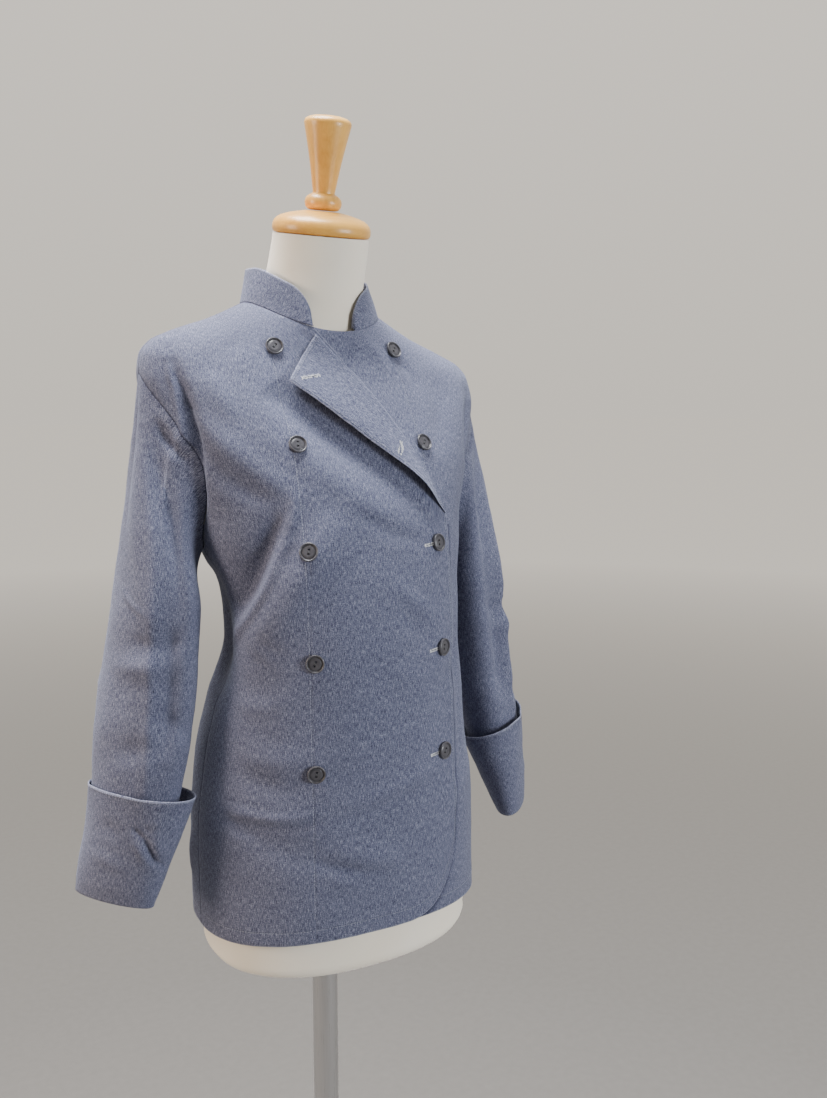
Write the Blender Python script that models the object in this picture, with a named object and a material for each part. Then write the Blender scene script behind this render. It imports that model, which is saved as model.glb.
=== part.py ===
"""Chef jacket on a limbless dress form, a Blender 4.5 model in metres.

+Z is up and the front faces -Y, so the wearer's right side lies at -X. The origin
is the middle of the stand's underside.

The jacket is cut cloth round one body surface. A place on that surface is a turn and
a height: turn 0 is the centre front, +90 degrees the wearer's left side, 180 the centre
back, and height is the height of the side line there. Every cloth piece is a grid of
such places, moved out by the layers beneath it and thickened to a closed wall.
"""

import bmesh
import bpy
import numpy as np
from mathutils import Matrix, Vector

CLOTH = 0.0012            # one layer of chambray with its facing or hem
DOUBLE = 0.0020           # turned corner, collar and cuff: two layers, pressed
SEAM = 0.0003             # clear space between neighbouring pieces
LAYER_STEP = 0.0016       # air between two layers that lie on each other

HEM = 0.755               # side height of the hem
NECK = 1.380              # side height of the collar seam
UNDERARM = 1.140          # lowest point of the armhole
SHOULDER_TIP = 1.310      # highest point of the armhole
NECK_SHIFT = -0.0040      # the neck sits this far towards the wearer's right
SHOULDER_DROP = 0.018     # the wearer's left shoulder sits this much lower
ARMHOLE_TURN = np.radians(25)        # how far the armhole cuts in front of the side line
ARMHOLE_TURN_BACK = np.radians(24)   # and behind it

EDGE_X = 0.0865           # free edge of each front, past the centre
LEFT_TOP_X = -0.0340      # the left front's edge slants in to here at the collar
CORNER_START_X = 0.024    # where the right front's hem begins to round up
CORNER_TOP_Z = 0.846      # where that curve meets the straight free edge
CORNER_HEM_Z = 0.763      # the hem's height there
CORNER_POWER = 2.2        # its roundness (2 is an ellipse)

# Buttons by row: height, x of the right button and x of the left one.
BUTTON_ROWS = [
    (1.3340, -0.069, 0.064),
    (1.2405, -0.069, 0.069),
    (1.1430, -0.070, 0.069),
    (1.0390, -0.069, 0.069),
    (0.9320, -0.070, 0.070),
]
LAST_OPEN_ROW = 2         # the left buttons down to this row lie under no buttonhole
BUTTON_RADIUS = 0.0090
BUTTON_REST = 0.00056     # a button clears the highest point of the cloth under it by this
# Profile of a button: share of its radius, and height.
BUTTON_PROFILE = [
    (0.80, 0.0000), (1.00, 0.0012), (0.97, 0.0030), (0.87, 0.0032), (0.73, 0.0024),
]

# Rings of the jacket's outside. "side" is the height at the side line, "front" and
# "back" the heights at the centre front and back, "half" the half width, y_front,
# y_widest and y_back the depths, and "power" the squareness (2 is an ellipse).
BODY_COLUMNS = "side front back half y_front y_widest y_back power".split()
BODY = [
    (0.755, 0.763, 0.758, 0.1520, -0.1455, -0.032, 0.086, 2.30),
    (0.800, 0.804, 0.802, 0.1515, -0.1465, -0.030, 0.088, 2.30),
    (0.860, 0.862, 0.860, 0.1495, -0.1470, -0.028, 0.094, 2.30),
    (0.920, 0.920, 0.920, 0.1425, -0.1475, -0.026, 0.096, 2.30),
    (0.980, 0.980, 0.980, 0.1330, -0.1475, -0.034, 0.080, 2.30),
    (1.045, 1.045, 1.045, 0.1235, -0.1475, -0.046, 0.056, 2.30),
    (1.100, 1.100, 1.100, 0.1260, -0.1440, -0.040, 0.062, 2.30),
    (1.140, 1.140, 1.140, 0.1360, -0.1380, -0.024, 0.086, 2.30),
    (1.180, 1.180, 1.180, 0.1460, -0.1290, -0.010, 0.102, 2.30),
    (1.230, 1.225, 1.230, 0.1640, -0.1130, -0.002, 0.106, 2.25),
    (1.275, 1.262, 1.272, 0.1780, -0.0940, 0.004, 0.102, 2.20),
    (1.308, 1.288, 1.300, 0.1850, -0.0780, 0.008, 0.096, 2.15),
    (1.327, 1.305, 1.320, 0.1825, -0.0670, 0.010, 0.090, 2.10),
    (1.341, 1.317, 1.337, 0.1715, -0.0605, 0.011, 0.085, 2.05),
    (1.350, 1.327, 1.350, 0.1510, -0.0565, 0.011, 0.080, 2.00),
    (1.363, 1.340, 1.367, 0.1120, -0.0535, 0.010, 0.074, 2.00),
    (1.380, 1.352, 1.386, 0.0730, -0.0515, 0.009, 0.069, 2.00),
]

# Rings of the wearer's left sleeve below the armhole, from the upper arm to the fold of
# the turned-back cuff. "out" and "y" place the axis, "long" and "short" are the half
# sizes of the flattened tube, and "lie" turns its long axis from across (0 degrees) to
# front to back (90). "step" numbers the rings.
SLEEVE_COLUMNS = "step height out y long short lie".split()
SLEEVE = [
    (1.0, 1.085, 0.1800, -0.004, 0.0625, 0.0360, 78),
    (2.0, 1.020, 0.1905, -0.007, 0.0625, 0.0360, 72),
    (3.0, 0.960, 0.2010, -0.012, 0.0605, 0.0350, 67),
    (4.0, 0.910, 0.2095, -0.016, 0.0540, 0.0320, 63),
    (5.0, 0.860, 0.2220, -0.020, 0.0490, 0.0245, 59),
    (6.0, 0.807, 0.2365, -0.020, 0.0455, 0.0165, 55),
]
# Each sleeve hangs its own way, by side (1 is the wearer's left, -1 the right): how far
# its wrist is raised, and how far its rings lean up in front and down at the back.
WRIST_RISE = {1: 0.0070, -1: -0.0080}
WRIST_LEAN = {1: 0.0, -1: 0.0065}

# The turned-back edge of each cuff, by side: the step it reaches, how much further it
# climbs at one turn round the sleeve (in degrees), how far it stands off the sleeve where
# it is loosest, and the share of that left where it is tightest.
CUFF_COLUMNS = "step climb climb_turn flare tight".split()
CUFFS = {
    1: (3.93, 0.20, 45, 0.0070, 0.30),
    -1: (4.02, 0.00, 0, 0.0130, 0.12),
}
CUFF_OPEN = np.radians(130)     # the turn round the sleeve where a cuff is loosest

COLLAR_HEIGHT = 0.0335
COLLAR_CLEAR = 0.00045          # its lower edge stands this far over the neck seam
COLLAR_END = np.radians(19)     # each end's turn from the centre front
COLLAR_CORNER = np.radians(21)  # how far the rounded upper corner reaches
COLLAR_LEAN = 0.0030            # the upper edge stands this much further in at the back
COLLAR_SIDE_LEAN = 0.0080       # and this much more at the sides
COLLAR_SIDE = 72                # the turn, in degrees, where it leans in the most
COLLAR_SIDE_SPAN = 42           # and the turn over which that fades

# Turned corner of the right front: it folds back along the roll line, from the collar's
# end down to the free edge. Both lines are (x, z) points of the front.
ROLL_LINE = [(-0.0270, 1.3540), (0.0040, 1.3170), (0.0530, 1.2370), (0.0840, 1.1710)]
TURNED_EDGE = [(-0.0650, 1.2965), (-0.0140, 1.2555), (0.0370, 1.2150), (0.0850, 1.1700)]
CORNER_LIFT = 0.0060      # how far the turned corner's free edge stands up

# Soft folds of the body, each from one place (turn in degrees, height) to another, with
# its half width and its height (a trough is negative), in metres.
BODY_FOLDS = [
    (-14, 1.175, -64, 1.040, 0.020, 0.0070),
    (-34, 1.175, -80, 1.075, 0.020, -0.0080),
    (-22, 0.850, 8, 0.825, 0.014, 0.0030),
    (-60, 0.880, -20, 0.840, 0.016, -0.0030),
    (20, 0.990, 55, 1.030, 0.016, -0.0030),
    (24, 0.870, 62, 0.905, 0.016, 0.0028),
    (-66, 1.330, -58, 1.215, 0.012, -0.0050),
    (62, 1.325, 56, 1.220, 0.012, -0.0045),
    (38, 1.345, 30, 1.235, 0.013, -0.0028),
    (112, 1.230, 150, 1.130, 0.020, 0.0050),
    (-116, 1.225, -146, 1.120, 0.020, 0.0055),
    (-100, 0.985, -106, 1.125, 0.030, -0.0150),
    (100, 0.985, 106, 1.125, 0.030, -0.0130),
    (128, 1.030, 168, 1.015, 0.018, -0.0045),
    (-124, 1.040, -172, 1.012, 0.018, -0.0050),
    (140, 0.880, 196, 0.850, 0.020, 0.0035),
]

# Soft folds of each sleeve: (turn round the sleeve in degrees, step) to another such
# place. Turn 0 is the outer side, 90 the front, 180 the side facing the body.
SLEEVE_FOLDS = [
    (40, 0.10, 100, 0.75, 0.012, -0.0035),
    (10, 0.30, 60, 1.30, 0.013, 0.0030),
    (30, 1.55, 110, 1.35, 0.010, -0.0035),
    (10, 1.95, 95, 1.75, 0.010, 0.0030),
    (60, 2.55, 150, 2.75, 0.011, -0.0030),
    (-60, 1.20, -140, 1.60, 0.012, -0.0035),
    (-30, 2.40, -110, 2.10, 0.012, 0.0030),
    (20, 3.30, 80, 3.05, 0.012, -0.0025),
]

# Dress form: the air between it and the jacket, by height, and its neck in rings
# square to a tilted axis: height, half width, y of front, widest place and back, tilt.
FORM_BOTTOM = 0.715
FORM_GAPS = [
    (0.70, 0.009), (0.92, 0.010), (1.00, 0.019), (1.09, 0.021), (1.15, 0.013),
    (1.24, 0.013), (1.30, 0.012), (1.34, 0.008), (1.40, 0.009),
]
SHOULDER_REST = 0.0008    # the jacket rests on the ridge of the form's shoulders
SHOULDER_RIDGE_SPAN = 13  # the turn, in degrees, over which that ridge reaches
NECK_RINGS = [
    (1.366, 0.0610, -0.0420, 0.004, 0.0570, 18),
    (1.384, 0.0545, -0.0425, 0.002, 0.0520, 16),
    (1.408, 0.0507, -0.0475, -0.001, 0.0490, 12),
    (1.428, 0.0498, -0.0545, -0.006, 0.0430, 10),
    (1.449, 0.0490, -0.0610, -0.0125, 0.0360, 10),
]
NECK_TILT = np.radians(10)
NECK_TOP = Vector((0.0, -0.0125, 1.4490))

# Turned profiles of the cap, the knob and the stand's base: radius, height on the axis.
CAP_PROFILE = [
    (0.0440, 0.0004), (0.0490, 0.0018), (0.0500, 0.0065), (0.0485, 0.0125),
    (0.0430, 0.0175), (0.0310, 0.0215), (0.0180, 0.0240),
]
KNOB_PROFILE = [
    (0.0120, 0.0248), (0.0170, 0.0270), (0.0188, 0.0325), (0.0160, 0.0385),
    (0.0112, 0.0410), (0.0118, 0.0460), (0.0178, 0.0800), (0.0232, 0.1040),
    (0.0236, 0.1075), (0.0190, 0.1120), (0.0100, 0.1145),
]
BASE_PROFILE = [
    (0.1835, 0.0000), (0.1850, 0.0012), (0.1850, 0.0048), (0.1835, 0.0060),
    (0.0600, 0.0072), (0.0290, 0.0100), (0.0275, 0.0560), (0.0260, 0.0575),
]
POLE_RADIUS = 0.0140


# ---------------------------------------------------------------- small helpers

def smooth_column(keys, values, at):
    """Values between the rows of a table, without overshoot (monotone cubic)."""
    keys, values, at = np.asarray(keys), np.asarray(values), np.asarray(at, float)
    step = np.diff(keys)
    slope = np.diff(values) / step
    tangent = np.empty_like(values)
    tangent[0], tangent[-1] = slope[0], slope[-1]
    for i in range(1, len(values) - 1):
        before, after = slope[i - 1], slope[i]
        tangent[i] = 0.0 if before * after <= 0 else 2 * before * after / (before + after)
    cell = np.clip(np.searchsorted(keys, at, side="right") - 1, 0, len(step) - 1)
    span = step[cell]
    part = np.clip((at - keys[cell]) / span, 0.0, 1.0)
    return (
        values[cell] * (1 + 2 * part) * (1 - part) ** 2
        + tangent[cell] * span * part * (1 - part) ** 2
        + values[cell + 1] * part ** 2 * (3 - 2 * part)
        + tangent[cell + 1] * span * part ** 2 * (part - 1)
    )


def table(rows, columns):
    """A table's columns by name."""
    return {name: [row[i] for row in rows] for i, name in enumerate(columns)}


def ramp(value, start, end):
    """0 before start, 1 after end, and smooth between."""
    part = np.clip((np.asarray(value, float) - start) / (end - start), 0.0, 1.0)
    return part * part * (3 - 2 * part)


def unit(vectors):
    return vectors / np.linalg.norm(vectors, axis=-1, keepdims=True)


def near_path(points, path):
    """Distance of each point to a path of straight steps, and the part along it."""
    best = np.full(points.shape[:-1], 9.0)
    along = np.zeros(points.shape[:-1])
    steps = len(path) - 1
    for i in range(steps):
        start, reach = path[i], path[i + 1] - path[i]
        part = np.clip((points - start) @ reach / (reach @ reach), 0.0, 1.0)
        gap = np.linalg.norm(points - start - part[..., None] * reach, axis=-1)
        closer = gap < best
        best = np.where(closer, gap, best)
        along = np.where(closer, (i + part) / steps, along)
    return best, along


# ---------------------------------------------------------------- body surface

BODY_TABLE = table(BODY, BODY_COLUMNS)


def body_value(name, height):
    return smooth_column(BODY_TABLE["side"], BODY_TABLE[name], height)


def neck_shift(height):
    return NECK_SHIFT * ramp(height, 1.335, NECK)


def smooth_body(turn, height):
    """The jacket's body without folds, at a turn and a side height."""
    turn, height = np.broadcast_arrays(np.asarray(turn, float), np.asarray(height, float))
    across, ahead = np.sin(turn), np.cos(turn)
    power = body_value("power", height)
    reach = (np.abs(across) ** power + np.abs(ahead) ** power) ** (-1 / power)
    middle = body_value("y_widest", height)
    end = np.where(ahead > 0, body_value("y_front", height), body_value("y_back", height))
    level = np.where(ahead > 0, body_value("front", height), body_value("back", height))
    x = body_value("half", height) * across * reach + neck_shift(height)
    y = middle + (end - middle) * np.abs(ahead) * reach
    z = height + (level - height) * ahead ** 2
    z = z - SHOULDER_DROP * ramp(x, -0.02, 0.17) * ramp(height, 1.20, 1.32)
    return np.stack([x, y, z], axis=-1)


def fold_paths(rows, place):
    """The middle line of each fold as points in space."""
    paths = []
    for turn_a, height_a, turn_b, height_b, half_width, rise in rows:
        part = np.linspace(0.0, 1.0, 9)
        turns = np.radians(turn_a + (turn_b - turn_a) * part)
        heights = height_a + (height_b - height_a) * part
        paths.append((place(turns, heights), half_width, rise))
    return paths


def fold_rise(points, paths):
    """How far the folds lift (or sink) each point."""
    rise = np.zeros(points.shape[:-1])
    for path, half_width, height in paths:
        gap, along = near_path(points, path)
        fade = np.sin(np.pi * np.clip(along, 0.02, 0.98)) ** 0.7
        rise += height * fade * np.exp(-(gap / half_width) ** 2)
    return rise


def surface_normal(place, turn, height, turn_step=0.004, height_step=0.0015):
    ahead = place(turn + turn_step, height) - place(turn - turn_step, height)
    up = place(turn, height + height_step) - place(turn, height - height_step)
    return unit(np.cross(ahead, up))


BODY_PATHS = fold_paths(BODY_FOLDS, smooth_body)


def body(turn, height, out=0.0):
    """The jacket's body with its folds, moved out by a distance."""
    turn, height = np.broadcast_arrays(np.asarray(turn, float), np.asarray(height, float))
    inside = np.clip(height, HEM + 0.002, NECK - 0.002)
    normal = surface_normal(smooth_body, turn, inside)
    base = smooth_body(turn, height)
    lift = fold_rise(base, BODY_PATHS) * ramp(height, NECK, NECK - 0.03)
    return base + normal * (np.asarray(out) + lift)[..., None]


def front_place(x, z):
    """Turn and side height of the point of the front at x and z."""
    x, z = np.broadcast_arrays(np.asarray(x, float), np.asarray(z, float))
    height = z.astype(float).copy()
    turn = np.zeros_like(height)
    for _ in range(12):
        power = body_value("power", height)
        aside = x - neck_shift(height)
        share = np.clip(np.abs(aside) / body_value("half", height), 1e-6, 0.999) ** power
        turn = np.sign(aside) * np.arctan((share / (1 - share)) ** (1 / power))
        height = np.clip(height + z - smooth_body(turn, height)[..., 2], HEM, NECK)
    return turn, height


# ---------------------------------------------------------------- pattern lines

def line_at(points, part):
    """A point on a smooth line through a few points, by its part of the way."""
    keys = np.linspace(0.0, 1.0, len(points))
    xs = smooth_column(keys, [p[0] for p in points], part)
    zs = smooth_column(keys, [p[1] for p in points], part)
    return xs, zs


def roll_x(z):
    """The roll line's x at a height."""
    rows = ROLL_LINE[::-1]
    return smooth_column([p[1] for p in rows], [p[0] for p in rows], z)


def edge_turn(edge_x, height):
    """The turn of a front's edge, whose x is a function of z, on a ring."""
    height = np.asarray(height, float)
    z = height.copy()
    turn = np.zeros_like(height)
    for _ in range(14):
        turn = front_place(edge_x(z), z)[0]
        z = smooth_body(turn, height)[..., 2]
    return turn


def right_edge_x(z):
    return np.where(z < ROLL_LINE[-1][1], EDGE_X, np.minimum(roll_x(z), EDGE_X))


def left_edge_x(z):
    return -EDGE_X + (EDGE_X + LEFT_TOP_X) * ramp(z, 1.262, 1.356)


def armhole_turn(height, cut):
    """How far the armhole lies in front of (or behind) the side line on a ring."""
    part = np.clip((height - UNDERARM) / (SHOULDER_TIP - UNDERARM), 0.0, 1.0)
    return cut * np.sin(np.pi * part ** 1.15) ** 0.75


def side_gap(height):
    """Half the turn of the gap at the side and shoulder seams."""
    return 1.3 * SEAM / (body_value("y_back", height) - body_value("y_front", height))


def right_front_out(turn, height):
    """The right front lies on the left front, and settles beside it."""
    x = smooth_body(turn, height)[..., 0]
    lies = ramp(x, -EDGE_X - 0.034, -EDGE_X - 0.006)
    near_neck = ramp(height, NECK, NECK - 0.024)
    at_end = ramp(x, -0.052, -0.028)
    return (CLOTH + LAYER_STEP) * lies * np.maximum(near_neck, at_end)


# ---------------------------------------------------------------- mesh building

def add_object(name, mesh, colour, roughness, metallic=0.0, smooth=True):
    material = bpy.data.materials.new(name)
    material.use_nodes = True
    shader = material.node_tree.nodes["Principled BSDF"]
    shader.inputs["Base Color"].default_value = (*colour, 1.0)
    shader.inputs["Roughness"].default_value = roughness
    shader.inputs["Metallic"].default_value = metallic
    mesh.materials.append(material)
    if smooth:
        mesh.shade_smooth()
        mesh.set_sharp_from_angle(angle=np.radians(40))
    item = bpy.data.objects.new(name, mesh)
    bpy.context.collection.objects.link(item)
    return item


def wall(name, inner, outer, round_about=False):
    """A closed wall between two grids of points, open or closed into a tube."""
    rows, columns = inner.shape[:2]
    shape = bmesh.new()
    sides = [
        [[shape.verts.new(tuple(point)) for point in row] for row in grid]
        for grid in (inner, outer)
    ]
    last = columns if round_about else columns - 1
    for r in range(rows - 1):
        for c in range(last):
            d = (c + 1) % columns
            low, high = sides[1][r], sides[1][r + 1]
            shape.faces.new((low[c], low[d], high[d], high[c]))
            low, high = sides[0][r], sides[0][r + 1]
            shape.faces.new((high[c], high[d], low[d], low[c]))
    for r, flip in ((0, False), (rows - 1, True)):
        for c in range(last):
            d = (c + 1) % columns
            rim = [sides[0][r][c], sides[0][r][d], sides[1][r][d], sides[1][r][c]]
            shape.faces.new(rim[::-1] if flip else rim)
    if not round_about:
        for c, flip in ((0, True), (columns - 1, False)):
            for r in range(rows - 1):
                rim = [sides[0][r][c], sides[0][r + 1][c], sides[1][r + 1][c], sides[1][r][c]]
                shape.faces.new(rim[::-1] if flip else rim)
    bmesh.ops.triangulate(shape, faces=shape.faces[:])
    bmesh.ops.recalc_face_normals(shape, faces=shape.faces[:])
    mesh = bpy.data.meshes.new(name)
    shape.to_mesh(mesh)
    shape.free()
    return mesh


def turned(name, profile, segments, place=Matrix()):
    """A solid turned round its axis from a profile that runs upward."""
    shape = bmesh.new()
    rings = []
    for radius, height in profile:
        ring = []
        for k in range(segments):
            angle = 2 * np.pi * k / segments
            spot = Vector((radius * np.cos(angle), radius * np.sin(angle), height))
            ring.append(shape.verts.new(place @ spot))
        rings.append(ring)
    for low, high in zip(rings, rings[1:]):
        for k in range(segments):
            n = (k + 1) % segments
            shape.faces.new((low[k], low[n], high[n], high[k]))
    shape.faces.new(rings[0][::-1])
    shape.faces.new(rings[-1])
    bmesh.ops.recalc_face_normals(shape, faces=shape.faces[:])
    mesh = bpy.data.meshes.new(name)
    shape.to_mesh(mesh)
    shape.free()
    return mesh


CHAMBRAY = (0.135, 0.165, 0.235)
CHAMBRAY_ROUGHNESS = 0.9
WOOD = (0.60, 0.33, 0.12)

# Side heights of the rows of cloth, closer together over the shoulder.
SLEEVE_SIDES = 20         # the sleeve's corners meet the rows round the armhole
ARM_ROWS = (1 - np.cos(np.linspace(0, np.pi, SLEEVE_SIDES // 2 + 1))) / 2
ROWS = np.concatenate([
    np.linspace(HEM, UNDERARM, 15)[:-1],
    UNDERARM + (SHOULDER_TIP - UNDERARM) * ARM_ROWS,
    [1.323, 1.333, 1.342, 1.351, 1.361, 1.371, NECK],
])


# ---------------------------------------------------------------- fronts

def front_panel(name, side, edge_x, out, columns, round_corner):
    """One front, from its free edge (column 0) to the side seam and armhole."""
    crowd = np.linspace(0.0, 1.0, columns) ** 1.15
    low = np.zeros(columns)
    if round_corner:
        edge = edge_turn(edge_x, np.array([HEM]))[0]
        turns = edge + (side * np.pi / 2 - edge) * crowd
        x = smooth_body(turns, HEM)[..., 0]
        part = np.clip((x - CORNER_START_X) / (EDGE_X - CORNER_START_X), 0.0, 1.0)
        low = (CORNER_TOP_Z - CORNER_HEM_Z) * (1 - np.sqrt(1 - part ** CORNER_POWER))
    keep = ramp(ROWS, CORNER_TOP_Z + 0.05, HEM)
    heights = ROWS[:, None] + low[None, :] * keep[:, None]
    start = edge_turn(edge_x, heights)
    seam = side_gap(heights)
    end = side * (np.pi / 2 - seam - armhole_turn(heights, ARMHOLE_TURN))
    turns = start + (end - start) * crowd[None, :]
    gap = out(turns, heights)
    inner = body(turns, heights, gap)
    outer = body(turns, heights, gap + CLOTH)
    add_object(name, wall(name, inner, outer), CHAMBRAY, CHAMBRAY_ROUGHNESS)


def build_fronts():
    front_panel("front_left", 1, left_edge_x, lambda t, h: np.zeros_like(t), 17, False)
    front_panel("front_right", -1, right_edge_x, right_front_out, 18, True)


# ---------------------------------------------------------------- turned corner

def build_turned_corner():
    """The right front's upper corner, folded back with its facing side out."""
    along = np.linspace(0.0, 1.0, 13)[:, None]
    away = np.linspace(0.0, 1.0, 7)[None, :]
    roll = line_at(ROLL_LINE, 0.03 + 0.97 * along)
    free = line_at(TURNED_EDGE, along)
    x = roll[0] + (free[0] - roll[0]) * away
    z = roll[1] + (free[1] - roll[1]) * away
    z = z - 0.0015 * (1 - along) * (1 - away)
    turn, height = front_place(x, z)
    panel = CLOTH + LAYER_STEP + CLOTH
    swell = 0.55 + 0.45 * np.sin(np.pi * (0.15 + 0.75 * along))
    lift = CORNER_LIFT * away ** 1.6 * swell * ramp(along, 1.0, 0.75)
    gap = panel + 0.0006 + lift
    inner = body(turn, height, gap)
    outer = body(turn, height, gap + CLOTH)
    mesh = wall("turned_corner", inner[:, ::-1], outer[:, ::-1])
    add_object("turned_corner", mesh, CHAMBRAY, CHAMBRAY_ROUGHNESS)


# ---------------------------------------------------------------- back

def build_back():
    part = np.linspace(-1.0, 1.0, 17)[None, :]
    heights = ROWS[:, None] + 0.0 * part
    seam = side_gap(heights)
    half = np.pi / 2 - seam - armhole_turn(heights, ARMHOLE_TURN_BACK)
    turns = np.pi - half * part
    inner = body(turns, heights)
    outer = body(turns, heights, CLOTH)
    mesh = wall("back", inner[:, ::-1], outer[:, ::-1])
    add_object("back", mesh, CHAMBRAY, CHAMBRAY_ROUGHNESS)


# ---------------------------------------------------------------- collar

def build_collar():
    turns = np.linspace(COLLAR_END, 2 * np.pi - COLLAR_END, 41)[None, :]
    up = np.linspace(0.0, 1.0, 5)[:, None]
    side = np.where(turns > np.pi, turns - 2 * np.pi, turns)
    out = np.where(side < 0, right_front_out(side, np.full_like(side, NECK)), 0.0)
    seam = body(side, np.full_like(side, NECK), out + CLOTH)
    from_end = np.clip((np.abs(side) - COLLAR_END) / COLLAR_CORNER, 0.0, 1.0)
    rise = 0.10 + 0.90 * np.sqrt(1 - (1 - from_end) ** 2)
    height = COLLAR_HEIGHT * rise * up
    level = np.stack([np.sin(side), -np.cos(side), 0 * side], axis=-1)
    lift = np.stack([0 * height, 0 * height, height + COLLAR_CLEAR], axis=-1)
    aside = np.exp(-((np.degrees(np.abs(side)) - COLLAR_SIDE) / COLLAR_SIDE_SPAN) ** 2)
    lean = (COLLAR_LEAN + COLLAR_SIDE_LEAN * aside) * up + 0.0008
    middle = seam + lift - level * lean[..., None]
    inner = middle - level * (DOUBLE / 2)
    outer = middle + level * (DOUBLE / 2)
    mesh = wall("collar", inner, outer)
    add_object("collar", mesh, CHAMBRAY, CHAMBRAY_ROUGHNESS)


# ---------------------------------------------------------------- sleeves

SLEEVE_TABLE = table(SLEEVE, SLEEVE_COLUMNS)
CAP_PULL = 0.95           # how strongly the sleeve cap keeps the shoulder's direction


def sleeve_value(name, step):
    return smooth_column(SLEEVE_TABLE["step"], SLEEVE_TABLE[name], step)


def sleeve_ring(turn, step):
    """A ring of the left sleeve, square to its axis."""
    reach = 0.05
    slope = (sleeve_value("out", step + reach) - sleeve_value("out", step - reach)) / (
        sleeve_value("height", step - reach) - sleeve_value("height", step + reach)
    )
    tilt = np.arctan(slope)
    lie = np.radians(sleeve_value("lie", step))
    along = sleeve_value("long", step) * np.cos(turn + lie)
    aside = sleeve_value("short", step) * np.sin(turn + lie)
    across = along * np.cos(lie) + aside * np.sin(lie)
    x = sleeve_value("out", step) + across * np.cos(tilt)
    y = sleeve_value("y", step) + along * np.sin(lie) - aside * np.cos(lie)
    z = sleeve_value("height", step) + across * np.sin(tilt)
    return np.stack([x, y, z], axis=-1)


def armhole(turn, side):
    """The start of the sleeve: just inside the armhole, and over its lower edge."""
    part = (1 + np.cos(turn)) / 2
    height = UNDERARM + (SHOULDER_TIP - UNDERARM) * part
    cut = np.where(np.sin(turn) > 0, ARMHOLE_TURN, ARMHOLE_TURN_BACK)
    ahead = armhole_turn(height, cut)
    spot = np.where(np.sin(turn) > 0, np.pi / 2 - ahead, np.pi / 2 + ahead)
    over = CLOTH + 2 * SEAM * ramp(-np.cos(turn), 0.35, 0.80)
    seam = body(side * spot, height, over)
    middle = smooth_body(side * np.pi / 2, (UNDERARM + SHOULDER_TIP) / 2)
    inward = unit(middle - seam)
    return seam + inward * (2 * SEAM) * ramp(np.cos(turn), -0.80, -0.35)[..., None], inward


def smooth_sleeve(turn, step, side=1):
    """The sleeve without folds; side is 1 for the wearer's left, -1 for the right."""
    turn, step = np.broadcast_arrays(np.asarray(turn, float), np.asarray(step, float))
    mirror = np.array([side, 1.0, 1.0])
    ring = sleeve_ring(turn, np.maximum(step, 1.0)) * mirror
    hang = WRIST_RISE[side] * np.clip((step - 1) / (SLEEVE[-1][0] - 1), 0.0, 1.0) ** 1.5
    back = np.cos(turn + np.radians(sleeve_value("lie", np.maximum(step, 1.0))))
    ring[..., 2] += hang - WRIST_LEAN[side] * back * ramp(step, 2.0, 4.0)
    seam, inward = armhole(turn, side)
    first = sleeve_ring(turn, np.ones_like(step)) * mirror
    second = sleeve_ring(turn, np.full_like(step, 1.06)) * mirror
    length = np.linalg.norm(first - seam, axis=-1)[..., None]
    high = (0.5 + 0.5 * np.cos(turn))[..., None]
    out_and_down = np.stack([side * (0.35 + 0.45 * np.abs(np.sin(turn))),
                             np.zeros_like(turn), -np.ones_like(turn) * 0.7], axis=-1)
    leave = unit(inward * 0.9 * high ** 0.7 + out_and_down)
    arrive = unit(second - first)
    part = np.clip(step, 0.0, 1.0)[..., None]
    cap = (
        seam * (1 + 2 * part) * (1 - part) ** 2
        + leave * length * CAP_PULL * part * (1 - part) ** 2
        + first * part ** 2 * (3 - 2 * part)
        + arrive * length * part ** 2 * (part - 1)
    )
    return np.where(step[..., None] < 1.0, cap, ring)


def sleeve(turn, step, side, out=0.0):
    """The sleeve with its folds, moved out by a distance."""
    def place(a, b):
        return smooth_sleeve(a, b, side)

    turn, step = np.broadcast_arrays(np.asarray(turn, float), np.asarray(step, float))
    inside = np.clip(step, 0.03, 5.95)
    around = place(turn + 0.02, inside) - place(turn - 0.02, inside)
    down = place(turn, inside + 0.02) - place(turn, inside - 0.02)
    normal = unit(np.cross(around, down)) * side
    base = place(turn, step)
    lift = fold_rise(base, fold_paths(SLEEVE_FOLDS, place)) * ramp(step, 0.0, 0.25)
    lift = lift * ramp(step, 5.2, 3.9)
    return base + normal * (np.asarray(out) + lift)[..., None]


SLEEVE_STEPS = np.concatenate([
    np.linspace(0.0, 1.0, 8)[:-1], np.linspace(1.0, 4.0, 9)[:-1], np.linspace(4.0, 6.0, 5),
])


def build_sleeve(name, side):
    turns = np.arange(SLEEVE_SIDES)[None, :] * 2 * np.pi / SLEEVE_SIDES
    steps = SLEEVE_STEPS[:, None]
    inner = sleeve(turns, steps, side, -CLOTH)
    outer = sleeve(turns, steps, side)
    add_object(name, wall(name, inner, outer, True), CHAMBRAY, CHAMBRAY_ROUGHNESS)


# ---------------------------------------------------------------- cuffs

CUFF_PARTS = [0.0, 0.15, 0.29, 0.43, 0.57, 0.72, 0.86, 1.0]
CUFF_AIR = 0.0008         # beside the seam's gap, between a cuff and the sleeve in it


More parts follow.
